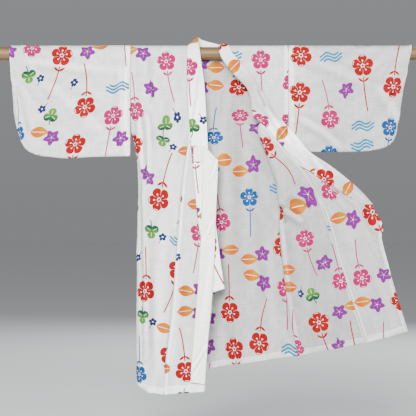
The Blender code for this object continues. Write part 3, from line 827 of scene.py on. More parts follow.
class LayerGroup(ShaderGroup):
    """Where a hem or an allowance doubles the cloth, as a mask, and painted shade along the piece's edges
    and the fold of each band.
    """

    EDGES = ("Left", "Right", "Top", "Low")
    STEP_M = 0.0006
    # FOLD_M and RIM_M are how wide the painted shade is on a band's fold and along every edge; FOLD_DEPTH
    # is how dark it is on the fold
    FOLD_M = 0.0011
    RIM_M = 0.0013
    NARROWEST_M = 0.0005
    FOLD_DEPTH = 0.45

    def __init__(self) -> None:
        """Builds the group."""
        numbers = dict.fromkeys(self.EDGES, 0.0)
        super().__init__("Doubled cloth", ("Sides", "Ends"), numbers, ("Mask", "Line"))
        left, right, _ = self.split(self.start.outputs["Sides"])
        top, low, _ = self.split(self.start.outputs["Ends"])
        masks, lines = [], []
        for title, distance in zip(self.EDGES, (left, right, top, low)):
            width = Wire(self.tree, self.start.outputs[title])
            doubled = width.over(self.NARROWEST_M)
            # Painted shade: a thin dark line on each band's fold, and a darker rim along every edge of the
            # piece
            fold = (1.0 - ((distance - width) / self.FOLD_M).absolute()).either(0.0) * doubled
            painted_rim_shade = (1.0 - distance / self.RIM_M).either(0.0)
            masks.append((width - distance).math("DIVIDE", self.STEP_M, clamp=True) * doubled)
            lines.append(painted_rim_shade.either(fold * self.FOLD_DEPTH))
        self.give("Mask", reduce(Wire.either, masks))
        self.give("Line", reduce(Wire.either, lines))


@cache
def group_tree(kind: type[ShaderGroup]) -> Tree:
    """The node tree of a group, built when it is first asked for."""
    return kind().tree


class Finish(Shading):
    """The node tree of one material, with what every cloth shares."""

    # How strongly the relief is painted into the colour as shade and light
    PAINTED_CREASE_SHADE_GAIN = 0.62
    RELIEF_STRENGTH = 0.4
    THREAD_RELIEF_M = 0.0004

    def __init__(self, title: str) -> None:
        """Makes the material and its shader."""
        self.material = bpy.data.materials.new(title)
        self.material.use_nodes = True
        super().__init__(self.material.node_tree)
        self.shader = self.tree.nodes["Principled BSDF"]

    def map(self, title: str) -> Socket:
        """One of the piece's own maps."""
        return self.node("UVMap", uv_map=title).outputs[0]

    def group(self, kind: type[ShaderGroup], **inputs: Socket | float) -> bpy.types.Node:
        """A shader group placed in the material with its own values."""
        return self.node("Group", inputs, node_tree=group_tree(kind))

    def raised(self, height: Wire | Socket, distance: float) -> None:
        """Sends a height to the shader as fine relief; distance is in metres."""
        inputs = {"Distance": distance, "Strength": self.RELIEF_STRENGTH, "Height": height}
        feed(self.tree, self.shader.inputs["Normal"], self.node("Bump", inputs).outputs["Normal"])

    def cotton(self) -> None:
        """The constant values of soft matt cotton."""
        self.shader.inputs["Roughness"].default_value = 0.86
        self.shader.inputs["Specular IOR Level"].default_value = 0.12
        self.shader.inputs["Sheen Weight"].default_value = 0.04
        self.shader.inputs["Sheen Roughness"].default_value = 0.5

    def layers(self, **widths: float) -> bpy.types.Node:
        """Where the piece's cloth is doubled, for bands of the given widths in metres."""
        return self.group(LayerGroup, Sides=self.map("Sides"), Ends=self.map("Ends"), **widths)

    def dress(self, colour: Socket | Colour, line: Socket, depth: float, slub: float) -> bpy.types.Material:
        """Dresses the material as woven cotton.

        Args:
            colour: The cloth's colour.
            line: Where painted shade lies, along the piece's edges and the folds of its doubled bands.
            depth: How dark that painted shade is.
            slub: How uneven its threads are.

        Returns:
            The material, with painted shade along those lines and in crease troughs, and painted light on
            crease crests.
        """
        weave = self.group(WeaveGroup, Vector=self.map("Cloth"), Slub=slub)
        # Painted shade along the piece's edges and the folds of its bands
        seams = 1.0 - Wire(self.tree, line) * depth
        # Painted shade and light: darker in the troughs of creases and lighter on their crests, read from
        # the Relief map
        painted_crease_shade = (self.split(self.map("Relief"))[0] - 0.5) * self.PAINTED_CREASE_SHADE_GAIN + 1.0
        shade = Wire(self.tree, weave.outputs["Shade"]) * seams * painted_crease_shade
        feed(self.tree, self.shader.inputs["Base Color"], self.shaded(colour, shade))
        self.raised(weave.outputs["Height"], self.THREAD_RELIEF_M)
        self.cotton()
        return self.material


@dataclass(frozen=True)
class PrintedCotton:
    """Thin white cotton with its print, paler where a hem or an allowance doubles it.

    tones paint shade into the cloth's colour: how pale it is at lengths in metres from the piece's top,
    darker where the piece lies in shade and greyer where no second layer lies behind it.
    """

    bands: Bands
    painted_shade_tones: PaintedShadeTones
    hue: Colour = (1.0, 1.012, 0.985)
    doubled_gain: float = 0.38
    reach_m: float = 1.3

    def ground(self, finish: Finish, doubled: Socket) -> Socket:
        """The cloth's colour below the print, with painted shade along the piece's length."""
        # Painted shade and light, as a ramp down the piece
        share = finish.split(finish.map("Ends"))[0] / self.reach_m
        stops = (*self.painted_shade_tones, (self.reach_m, self.painted_shade_tones[-1][1]))
        colours = [(place / self.reach_m, tuple(tone * part for part in self.hue)) for place, tone in stops]
        gain = Wire(finish.tree, doubled) * self.doubled_gain + 1.0
        return finish.shaded(finish.ramp(share, colours), gain)

    def make(self, title: str) -> bpy.types.Material:
        """Makes the finish for one piece."""
        finish = Finish(title)
        widths = {edge: getattr(self.bands, edge.lower()) * MM for edge in LayerGroup.EDGES}
        layers = finish.layers(**widths)
        ground = self.ground(finish, layers.outputs["Mask"])
        motifs = finish.group(PrintGroup, Vector=finish.map("Cloth"))
        printed = finish.blended(motifs.outputs["Mask"], ground, motifs.outputs["Color"])
        return finish.dress(printed, layers.outputs["Line"], depth=0.32, slub=0.55)


@dataclass(frozen=True)
class PlainCotton:
    """The plain white cotton of the tie, two layers thick."""

    colour: Colour = (0.83, 0.838, 0.79)

    def make(self, title: str) -> bpy.types.Material:
        """Makes the finish."""
        finish = Finish(title)
        # The tie's edges get a darker painted shade
        return finish.dress(self.colour, finish.layers().outputs["Line"], depth=0.55, slub=0.45)


@dataclass(frozen=True)
class RodWood:
    """Light brown wood with its grain along the rod and a soft satin sheen."""

    pale: Colour = (0.150, 0.094, 0.036)
    dark: Colour = (0.074, 0.041, 0.015)
    stretch: tuple[float, float, float] = (6.0, 260.0, 260.0)
    relief_m: float = 0.0003

    def make(self, title: str) -> bpy.types.Material:
        """Makes the finish, whose grain reads the rod's own place."""
        finish = Finish(title)
        place = finish.node("TexCoord").outputs["Object"]
        grain = finish.noise(
            finish.node("Mapping", {"Vector": place, "Scale": self.stretch}).outputs[0], 1.0, 5.0, 0.62
        )
        colour = finish.ramp(grain, ((0.34, self.dark), (0.66, self.pale)))
        feed(finish.tree, finish.shader.inputs["Base Color"], colour)
        feed(finish.tree, finish.shader.inputs["Roughness"], grain * 0.25 + 0.42)
        finish.shader.inputs["Specular IOR Level"].default_value = 0.3
        finish.raised(grain, self.relief_m)
        return finish.material


@dataclass(frozen=True)
class Thread:
    """White sewing cotton."""

    colour: Colour = (0.86, 0.86, 0.82)

    def make(self, title: str) -> bpy.types.Material:
        """Makes the finish."""
        finish = Finish(title)
        finish.shader.inputs["Base Color"].default_value = (*self.colour, 1.0)
        finish.cotton()
        return finish.material


class Needle:
    """Sews seams: copies one modelled stitch along them and joins the copies into one mesh."""

    BREADTH = 0.5
    HEIGHT = 0.46

    def __init__(self, name: str) -> None:
        """Models the stitch, a small rounded bar one unit long; name is what they all are called."""
        self.name = name
        bpy.ops.mesh.primitive_ico_sphere_add(subdivisions=2, radius=0.5)
        model = bpy.context.object
        self.corners = np.array([vertex.co[:] for vertex in model.data.vertices])
        self.faces = np.array([face.vertices[:] for face in model.data.polygons])
        bpy.data.objects.remove(model, do_unlink=True)
        self.copies: list[np.ndarray] = []

    def sew(self, line: np.ndarray, outward: np.ndarray, seam: Seam) -> None:
        """Sews one seam along a line that lies on the cloth.

        Args:
            line: The line's points, in millimetres.
            outward: The cloth's outward direction at each point.
            seam: How the stitches are set.
        """
        run = lengths_along(line)
        last = min(seam.last, float(run[-1]) - seam.first)
        for place in np.arange(seam.first + seam.stitch / 2, last, seam.pitch):
            middle, ahead, behind = (read_line(place + step, run, line) for step in (0.0, 1.0, -1.0))
            along = unit(ahead - behind)
            across = unit(np.cross(read_line(place, run, outward), along))
            axes = along * seam.stitch, across * self.BREADTH, np.cross(along, across) * self.HEIGHT
            self.copies.append(middle + self.corners @ np.stack(axes))

    def build(self) -> None:
        """Joins the copies and dresses them."""
        count = len(self.corners)
        points = np.concatenate(self.copies) * MM
        faces = np.concatenate([self.faces + number * count for number in range(len(self.copies))])
        sewn = new_object(self.name, points, faces)
        sewn.data.materials.append(Thread().make(self.name + "_thread"))
        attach(sewn, BODY)
        LOG.info("%s: %d stitches", self.name, len(self.copies))


@dataclass
class ClothPiece:
    """One cut piece of cloth, hung in place as a thin woven shell.

    A subclass gives the sections. The shell follows them, its creases and its soft unevenness, and
    its doubled bands stand proud on the wrong side, where the allowances are turned in. still says
    which of its edges, left, right, top and low, are sewn and so lie flat. Creases and waves die
    away over their REACH beside those edges, and the waves count for less in the relief.
    """

    FORWARD_GAIN = 3
    FRONT_REACH = 4.0
    CREASE_REACH = 5.0
    WAVE_REACH = 14.0
    WAVE_RELIEF = 0.35
    WAVE_LENGTHS = (95.0, 70.0, 52.0, 40.0, 30.0, 23.0, 17.0)
    WAVE_POWER = 1.15
    WAVE_TURN = 0.9
    WAVE_SLANT = 0.45
    WAVE_STRETCH = 2.6
    PUCKER_REACH = 9.0
    RELIEF_GAIN = 4.0
    RELIEF_ROUNDS = 6
    ROUNDING_DEPTH = 0.9
    RIM_SHARE = 0.06

    name: str
    node: str
    cut: Cut
    bands: Bands = Bands()
    joined: Joined = Joined()
    creases: Sequence[Crease] = ()
    back_creases: Sequence[Crease] = ()
    thickness: float = COTTON
    thread: float = THREAD
    softness: float = 1.05
    seed: int = 1
    still: tuple[bool, bool, bool, bool] = (True, True, True, False)
    puckers: float = 0.22
    fold_proud: float = 0.28
    # Painted shade: the cloth darker towards its top, beside the rod
    painted_shade_tones: PaintedShadeTones = ((0.0, 0.47), (0.15, 0.50), (0.25, 0.53))
    seams: Sequence[Seam] = ()
    slot: str = "printed_cotton"

    def rows(self) -> np.ndarray:
        """The piece's sections, from its top to its low edge."""
        raise NotImplementedError

    def grid(self) -> Grid:
        """The even grid on the piece's sections, with its creases and unevenness."""
        made = woven(self.rows(), self.bands, self.joined, self.thread)
        x, y, z = np.moveaxis(made.points, -1, 0)
        normals = grid_normals(made.points)
        forward = np.clip(-normals[..., 1] * self.FORWARD_GAIN, -1.0, 1.0)
        in_front = ease(-y, -self.FRONT_REACH, self.FRONT_REACH)
        folds = np.zeros(x.shape)
        for crease in self.creases:
            folds += crease.lift(x, z) * self.front_share(in_front)
        for crease in self.back_creases:
            folds += crease.lift(x, z) * (1 - in_front)
        folds = folds * self.calm(made, self.CREASE_REACH)
        waves = self.unevenness(made) * self.calm(made, self.WAVE_REACH)
        points = made.points + normals * ((folds + waves) * forward)[..., None]
        # The relief is painted into the colour by the finish: troughs darker, crests lighter
        return replace(made, points=points, relief=self.relief(folds + waves * self.WAVE_RELIEF))

    def relief(self, lift: np.ndarray) -> np.ndarray:
        """How far each place is a ridge, up to 1, or a trough, down to -1."""
        spread = lift
        for _ in range(self.RELIEF_ROUNDS):
            padded = np.pad(spread, 1, mode="edge")
            around = padded[:-2, 1:-1] + padded[2:, 1:-1] + padded[1:-1, :-2] + padded[1:-1, 2:]
            spread = spread * 0.4 + around * 0.15
        return np.tanh((lift - spread) * self.RELIEF_GAIN)

    def front_share(self, in_front: np.ndarray) -> np.ndarray:
        """How much of the front creases each place takes: all of it, on a piece of one layer."""
        return np.ones(in_front.shape)

    def calm(self, made: Grid, reach: float) -> np.ndarray:
        """1 inside the piece, falling to 0 over the reach beside the edges that are sewn."""
        share = np.ones(made.left.shape)
        for distance, held in zip(made.edges(), self.still):
            if held:
                share = share * ease(distance, 0.0, reach)
        return share

    def unevenness(self, made: Grid) -> np.ndarray:
        """Soft waves of many lengths, and small puckers along the doubled edges."""
        draw = np.random.default_rng(self.seed)
        u, v = made.left, made.top
        lift = np.zeros(u.shape)
        for length in self.WAVE_LENGTHS:
            angle = draw.uniform(-self.WAVE_TURN, self.WAVE_TURN)
            phase = draw.uniform(0, 2 * math.pi, 3)
            across = u * math.cos(angle) + v * math.sin(angle) * self.WAVE_SLANT
            swing = np.sin(2 * math.pi * across / length + phase[0])
            drift = phase[1] + 0.6 * np.sin(u / 31.0)
            swing = swing * np.sin(2 * math.pi * v / (length * self.WAVE_STRETCH) + drift)
            lift += self.softness * (length / self.WAVE_LENGTHS[0]) ** self.WAVE_POWER * swing
        sides = ((made.left, self.bands.left, v), (made.right, self.bands.right, v))
        for distance, band, run in (*sides, (made.low, self.bands.low, u)):
            if band > 0:
                beat = np.sin(run / 2.3 + 1.7 * np.sin(run / 11.0)) * np.sin(run / 7.1 + self.seed)
                lift += self.puckers * beat * np.exp(-(((distance - band) / self.PUCKER_REACH) ** 2))
        return lift

    def doubled(self, made: Grid) -> np.ndarray:
        """1 where the cloth is doubled by a hem or an allowance."""
        share = np.zeros(made.left.shape)
        for distance, band in zip(made.edges(), astuple(self.bands)):
            if band > 0:
                share = np.maximum(share, 1 - ease(distance, band - BAND_STEP[0], band + BAND_STEP[1]))
        return share

    def walls(self, made: Grid) -> tuple[np.ndarray, np.ndarray]:
        """How thick the shell is at each place on its right side and on its wrong side."""
        carried = zip(made.edges(), astuple(self.joined))
        nearest = np.minimum.reduce([distance + beyond for distance, beyond in carried])
        depth = np.clip(nearest / (self.thickness * self.ROUNDING_DEPTH), 0.0, 1.0)
        rounding = np.sqrt(np.maximum(1 - (1 - depth) ** 2, self.RIM_SHARE))
        half = self.thickness / 2 * rounding
        return half, half + self.fold_proud * self.doubled(made) * rounding

    def seam_line(self, made: Grid, side: np.ndarray, seam: Seam) -> np.ndarray:
        """The line on one side of the shell that lies at the seam's inset from its edge."""
        distance = getattr(made, seam.edge)
        if seam.edge in ("left", "right"):
            distance = distance.T
            side = side.transpose(1, 0, 2)
        line = []
        for number in range(distance.shape[1]):
            order = np.argsort(distance[:, number])
            line.append(read_line(seam.inset, distance[order, number], side[order, number]))
        return np.array(line)

    def sew(self, made: Grid, shell: np.ndarray, outward: np.ndarray, needle: Needle) -> None:
        """Sews the piece's seams on both of its sides."""
        for seam in self.seams:
            ways = self.seam_line(made, outward, seam)
            for side, way in zip(shell, (-1.0, 1.0)):
                needle.sew(self.seam_line(made, side, seam), ways * way, seam)

    def build(self, needle: Needle) -> bpy.types.Object:
        """Makes the shell with its measure maps, dresses it and sews its seams."""
        made = self.grid()
        outward = grid_normals(made.points)
        right_side, wrong_side = self.walls(made)
        shell = np.stack(
            [made.points - outward * right_side[..., None], made.points + outward * wrong_side[..., None]]
        )
        self.sew(made, shell, outward, needle)
        piece = shell_object(self.name, shell, made, self.cut)
        piece.data.materials.append(self.material())
        LOG.info("%s: %d faces", self.name, len(piece.data.polygons))
        return piece

    def material(self) -> bpy.types.Material:
        """The piece's finish."""
        return PrintedCotton(self.bands, self.painted_shade_tones).make(self.name + "_cloth")


def new_object(name: str, points: np.ndarray, faces: np.ndarray) -> bpy.types.Object:
    """A smooth object of the given points, in metres, and faces."""
    mesh = bpy.data.meshes.new(name)
    mesh.from_pydata(points.tolist(), [], faces.tolist())
    mesh.shade_smooth()
    made = bpy.data.objects.new(name, mesh)
    bpy.context.collection.objects.link(made)
    return made


def quads(a: np.ndarray, b: np.ndarray, c: np.ndarray, d: np.ndarray) -> np.ndarray:
    """Faces whose corners are the entries of four equal arrays."""
    return np.stack([a, b, c, d], axis=-1).reshape(-1, 4)


def shell_object(name: str, shell: np.ndarray, made: Grid, cut: Cut) -> bpy.types.Object:
    """Makes a closed shell of quads between two grids of points.

    Args:
        name: The object's name.
        shell: The right side's and the wrong side's points, in millimetres.
        made: The grid that both sides stand on, with its distances from the edges.
        cut: Where the piece lies on the printed cloth.

    Returns:
        The object, at the origin, with the maps Cloth, Sides and Ends in metres, and Relief from 0 to 1.
    """
    rows, columns = shell.shape[1:3]
    front, back = np.arange(2 * rows * columns).reshape(2, rows, columns)
    faces = np.concatenate(
        [
            quads(front[:-1, :-1], front[:-1, 1:], front[1:, 1:], front[1:, :-1]),
            quads(back[:-1, :-1], back[1:, :-1], back[1:, 1:], back[:-1, 1:]),
            quads(front[0, :-1], back[0, :-1], back[0, 1:], front[0, 1:]),
            quads(front[-1, :-1], front[-1, 1:], back[-1, 1:], back[-1, :-1]),
            quads(front[:-1, 0], front[1:, 0], back[1:, 0], back[:-1, 0]),
            quads(front[:-1, -1], back[:-1, -1], back[1:, -1], front[1:, -1]),
        ]
    )
    points = shell.reshape(-1, 3) * MM
    a, b, c, d = points[faces].swapaxes(0, 1)
    if (a * (np.cross(b, c) + np.cross(c, d))).sum() < 0:
        faces = faces[:, ::-1]
    piece = new_object(name, points, faces)
    if cut.lay is Lay.ROUND:
        flat = np.stack([made.top, (made.left - made.right) / 2], axis=-1)
    else:
        flat = laid_flat(made) * (-1.0 if cut.lay is Lay.UP else 1.0)
    maps = {
        "Cloth": flat * MM + np.array((cut.print_u, cut.print_v)),
        "Sides": np.stack([made.left, made.right], axis=-1) * MM,
        "Ends": np.stack([made.top, made.low], axis=-1) * MM,
        "Relief": np.stack([made.relief, made.relief], axis=-1) * 0.5 + 0.5,
    }
    order = faces.reshape(-1) % (rows * columns)
    for title, values in maps.items():
        layer = piece.data.uv_layers.new(name=title)
        layer.data.foreach_set("uv", values.reshape(-1, 2)[order].astype(np.float32).ravel())
    return piece


# Rows of the back: its left and its right side seam, x y z each; its bulge and its two waves' depths
BACK_ROWS = table(
    (-158, 10.3, -90, 156, 10.3, -90, 5, 0, 0),
    (-158, 8.3, -128, 156, 7.5, -125, 7, 0, 0),
    (-156.8, 4.4, -150, 155.5, 5, -150, 11, 0, 0),
    (-145.4, 10, -198, 152, 5.5, -198, 11, 1, 0.5),
    (-137.4, 18, -265, 147, 6, -262, 12, 3, 1),
    (-127.4, 24, -355, 140, 6, -339, 12, 6, 2),
    (-116.4, 27.5, -450, 148, 6, -433, 12, 9, 3),
    (-106.4, 29.5, -545, 160, 6, -519, 12, 12, 4.5),
    (-100.4, 30, -600, 170, 5, -571, 12, 13.5, 5.5),
    (-96.4, 30, -648, 177, 4, -605, 12, 14.5, 6),
)
NECK_DROP = 36.5
NECK_LEFT = (-48.5, -28.5)
NECK_RIGHT = (19.0, 34.5)
BACK_STEPS = 80
BACK_WAVES = 2.5
BACK_WAVE_START = 0.6


@dataclass
class Back(ClothPiece):
    """The back, one cloth wide, with the neckline cut behind the rod and soft waves lower down."""

    def rows(self) -> np.ndarray:
        """The shoulder, which follows the rod and the neckline, and the rows down to the hem."""
        xs = np.linspace(ARMHOLE_LEFT, ARMHOLE_RIGHT, BACK_STEPS + 1)
        shares = np.linspace(0.0, 1.0, BACK_STEPS + 1)
        drops = NECK_DROP * ease(xs, *NECK_LEFT) * (1 - ease(xs, *NECK_RIGHT))
        upper = [shoulder_row(share, xs, 1.0, drops) for share in SHOULDER_SHARES]
        window = np.sqrt(np.clip(np.sin(math.pi * shares), 0.0, 1.0))
        swing = np.sin(2 * math.pi * BACK_WAVES * shares + BACK_WAVE_START)
        lower = []
        for left, right, (bulge, wave_left, wave_right) in BACK_ROWS.reshape(-1, 3, 3):
            row = left + (right - left) * shares[:, None]
            row[:, 1] += (bulge + (wave_left + (wave_right - wave_left) * shares) * swing) * window
            lower.append(row)
        return np.concatenate([upper, lower])


# Rows of the right front: side seam, back, side, front and overlap seam, x y each; z of both seams
FRONT_RIGHT_ROWS = table(
    (-158, -10.3, -156, -10.6, -152, -11.2, -143, -12.8, -44.3, -15.7, -90, -88),
    (-158, -8.3, -156, -8.8, -152, -9.8, -143, -12.2, -42, -16, -128, -125),
    (-157.6, 0.6, -157.9, -2, -156.6, -5.8, -147, -12, -41, -16.3, -150, -150),
    (-146.6, 9.2, -148.4, 5.5, -148.5, 0, -142, -9.5, -46.6, -16, -198, -196),
    (-138, 18, -142.3, 13, -142.8, 4, -134, -10.5, -56.2, -15, -265, -262),
    (-128, 24, -139, 20, -145.5, 6, -131, -12.5, -63.2, -14, -355, -352),
    (-117, 27.5, -136, 24, -146.5, 8, -130, -11, -72.2, -13, -450, -460),
    (-107, 29.5, -133, 27, -148, 9, -130, -10, -80.8, -12, -545, -550),
    (-101, 30, -131, 28, -148, 10, -129, -9, -88.4, -12, -600, -606),
    (-97, 30, -129, 28, -147, 10, -128, -8, -92.6, -12, -648, -681),
)
FRONT_DROP = (0.0, 0.2, 0.32, 0.78, 0.9, 1.0)
FRONT_SWELL = -3.0
FRONT_SHARES = (0.0, 0.02, 0.05, 0.14, 0.55, 1.0)
NECK_EDGE_RIGHT = -46.0


@dataclass
class RightFront(ClothPiece):
    """The right front: shoulder to hem, its side rounding away behind."""

    def rows(self) -> np.ndarray:
        """The shoulder over the rod, and the rows round the side down to the hem."""
        xs = [ARMHOLE_LEFT + (NECK_EDGE_RIGHT - ARMHOLE_LEFT) * share for share in FRONT_SHARES]
        rows = [shoulder_row(share, xs, -1.0, [0.0] * len(xs)) for share in SHOULDER_SHARES]
        for *places, (seam_z, end_z) in FRONT_RIGHT_ROWS.reshape(-1, 6, 2):
            places.insert(4, (places[3] + places[4]) / 2 + (0.0, FRONT_SWELL))
            drop = end_z - seam_z
            rows.append([(x, y, seam_z + drop * share) for (x, y), share in zip(places, FRONT_DROP)])
        return np.array(rows)


# Rows of the right overlap panel: its seam, x y z; where it turns in, x y; its edge, x y z
OKUMI_RIGHT_ROWS = table(
    (-42.6, -16.3, -142, -38.6, -16.5, -36.6, -16.5, -140),
    (-43.6, -16.3, -178, -40.6, -16.4, -38.9, -16.4, -176),
    (-46, -16, -196, -39.5, -16.4, -37, -16.5, -194),
    (-55.6, -15, -262, -34.5, -17, -31.8, -17, -260),
    (-62.6, -14, -352, -25, -17.8, -22.4, -18, -350),
    (-68.6, -13.4, -420, -11.6, -17.8, -8.8, -18, -418),
    (-72.6, -13, -472, -1, -16.6, 2, -17, -470),
    (-75.4, -12.6, -500, 4, -8, -3, 2, -498),
    (-80.2, -12, -550, -1, -9, -5.5, -2, -548),
    (-87.8, -12, -606, -6.5, -11, -8.5, -7.5, -604),
    (-92, -12, -681, -11.5, -13, -11, -11, -675),
)


@dataclass
class RightOverlap(ClothPiece):
    """The narrow overlap panel between the right front and the collar."""

    def rows(self) -> np.ndarray:
        """The rows from the panel's point down to its hem."""
        rows = []
        for row in OKUMI_RIGHT_ROWS:
            seam, edge = row[:3], row[5:]
            turn = np.array((*row[3:5], edge[2]))
            rows.append([seam, (seam + turn) / 2, turn, edge])
        return np.array(rows)


# Rows of the left front where it lies plain: its side seam, x y z; y of its front; its end, x y z
FLAP_PLAIN_TOP = table(
    (156, -15.3, 0, -15.3, 32, -15.3, 0),
    (156, -14.3, -20, -15.3, 39.6, -15.3, -20),
    (156, -13.2, -38, -15.1, 53.6, -15.1, -38),
    (156, -12.4, -53, -14.8, 67.6, -14.8, -53),
    (156, -11.6, -68, -14.5, 80.6, -14.5, -68),
    (156, -10.6, -86, -14.2, 86.6, -14.2, -86),
    (156, -9, -112, -13.8, 89.6, -13.8, -112),
    (156, -7.4, -132, -12.6, 93.6, -12.8, -132),
)
# Rows where it turns over: side seam, x y z; the fold, x z; y of its two layers; its end, x y z
FLAP_FOLDED = table(
    (156, -3, -150, 95, -150, -12.4, -21.4, 109.4, -22.6, -147.6),
    (154.5, 1, -175, 100.5, -174, -11, -22.4, 127.4, -23.8, -168.6),
    (151.5, 2.6, -215, 115, -212, -8, -22, 150, -24.4, -195),
    (147.5, 3.4, -260, 131, -256, -4.5, -18.5, 182.2, -24, -231.2),
    (142.6, 3.6, -298, 136, -296, -2, -13, 209.5, -18.6, -272),
)
FLAP_PLAIN_LOW = table(
    (139.4, 3.6, -339, -7, 224.4, -14, -305),
    (142, 3.7, -385, -7, 240.4, -12, -352),
    (147.2, 3.8, -433, -8, 252.4, -11, -398),
    (153.4, 3.8, -479, -9, 267.4, -12, -443),
    (159.2, 3.8, -519, -10, 280.4, -14, -486),
    (167, 3, -560, -11, 295.4, -16, -528),
    (176.4, 1.8, -605, -12, 311.4, -18, -577),
)
FLAP_TOP_SHARES = (0.0, 0.4, 0.8, 0.87, 0.92, 0.95, 0.975, 1.0)
FLAP_LOW_SHARES = (0.0, 0.03, 0.07, 0.12, 0.18, 0.45, 0.72, 1.0)
FLAP_TURNED_SHARES = (0.35, 0.7, 1.0)
FLAP_RISE_SHARE = 0.3
FLAP_SWELL = (0.0, 0.1, 0.25, 0.5, 1.0, -0.7, 0.8, 0.0)
FLAP_SWELL_DEPTH = 5.0
FLAP_ARC_ROWS = 3
FLAP_NECK_TOP = 34.5
FLAP_NECK_FRONT = 32.0


@dataclass
class LeftFront(ClothPiece):
    """The left front, turned over below the neck and opened outwards with its inside showing."""

    @staticmethod
    def folded(row: np.ndarray) -> list:
        """Points of one row where the front turns over along the slanting fold."""
        seam, (fold_x, fold_z, back_y, front_y), end = row[:3], row[3:7], row[7:]
        turned_x = fold_x + (back_y - front_y) / 2
        behind = np.array((turned_x, back_y, fold_z))
        edge = np.array((fold_x, (back_y + front_y) / 2, fold_z))
        turned = np.array((min(turned_x, (fold_x + end[0]) / 2), front_y, fold_z))
        opened = [turned + (end - turned) * share for share in FLAP_TURNED_SHARES]
        return [seam, (seam + behind) / 2, behind, edge, turned, *opened]

    @staticmethod
    def plain(row: np.ndarray, shares: Sequence[float], swell: float) -> list:
        """Points of one row where the front lies plain."""
        seam, front_y, end = row[:3], row[3], row[4:]
        points = []
        for share, bump in zip(shares, FLAP_SWELL):
            point = seam + (end - seam) * share
            rise = ease(share, 0.0, FLAP_RISE_SHARE)
            settle = ease(share, FLAP_RISE_SHARE, 1.0)
            point[1] = seam[1] + (front_y - seam[1]) * rise + (end[1] - front_y) * settle
            point[1] += swell * bump
            points.append(point)
        return points

    def rows(self) -> np.ndarray:
        """The shoulder, the folded stretch below the neck and the opened front."""
        rows = []
        for row in range(FLAP_ARC_ROWS):
            path = row * HANG_RADIUS * math.pi / 2 / FLAP_ARC_ROWS
            neck = FLAP_NECK_TOP + (FLAP_NECK_FRONT - FLAP_NECK_TOP) * row / FLAP_ARC_ROWS
            xs = [ARMHOLE_RIGHT + (neck - ARMHOLE_RIGHT) * share for share in FLAP_TOP_SHARES]
            rows.append([over_rod(x, path, -1.0) for x in xs])
        rows += [self.plain(row, FLAP_TOP_SHARES, 0.0) for row in FLAP_PLAIN_TOP]
        rows += [self.folded(row) for row in FLAP_FOLDED]
        for number, row in enumerate(FLAP_PLAIN_LOW):
            swell = FLAP_SWELL_DEPTH * (number + 1) / len(FLAP_PLAIN_LOW)
            rows.append(self.plain(row, FLAP_LOW_SHARES, swell))
        return np.array(rows)


# Rows of the left overlap panel: its seam, x y z; its two inner places, x z each; its edge, x y z
OKUMI_LEFT_ROWS = table(
    (169, -24.6, -214, 222, -252, 268, -284, 312, -17.8, -297),
    (187, -23.2, -240, 238, -271.2, 283, -299.6, 324, -17.4, -304.4),
    (204.5, -18.4, -272, 248, -290, 292, -312, 331, -17, -320),
    (224.9, -14, -305, 262, -315, 302, -328, 340, -18, -334),
    (236.5, -12.5, -337, 270, -337, 308, -345, 344, -20, -350),
    (246, -11.5, -369, 278, -363, 311, -362, 341, -22, -366),
    (252.9, -11, -398, 284, -389, 315, -384, 345, -20, -386),
    (267.9, -12, -443, 296, -431, 325, -420, 353, -18, -414),
    (280.9, -14, -486, 309, -476, 337, -466, 365, -18, -459),
    (295.9, -16, -528, 324, -520, 352, -513, 379, -19, -507),
    (311.9, -18, -577, 340, -569.5, 367, -562, 394, -20, -554),
)
OKUMI_LEFT_SWELL = (-1.0, -2.6)


@dataclass
class LeftOverlap(ClothPiece):
    """The left overlap panel, opened outwards with the front."""

    def rows(self) -> np.ndarray:
        """The rows from the collar's line down to the hem."""
        rows = []
        for row in OKUMI_LEFT_ROWS:
            seam, (inner_x, inner_z, outer_x, outer_z), edge = row[:3], row[3:7], row[7:]
            drift = edge[1] - seam[1]
            inner = (inner_x, seam[1] + drift / 3 + OKUMI_LEFT_SWELL[0], inner_z)
            outer = (outer_x, seam[1] + drift * 2 / 3 + OKUMI_LEFT_SWELL[1], outer_z)
            rows.append([seam, inner, outer, edge])
        return np.array(rows)


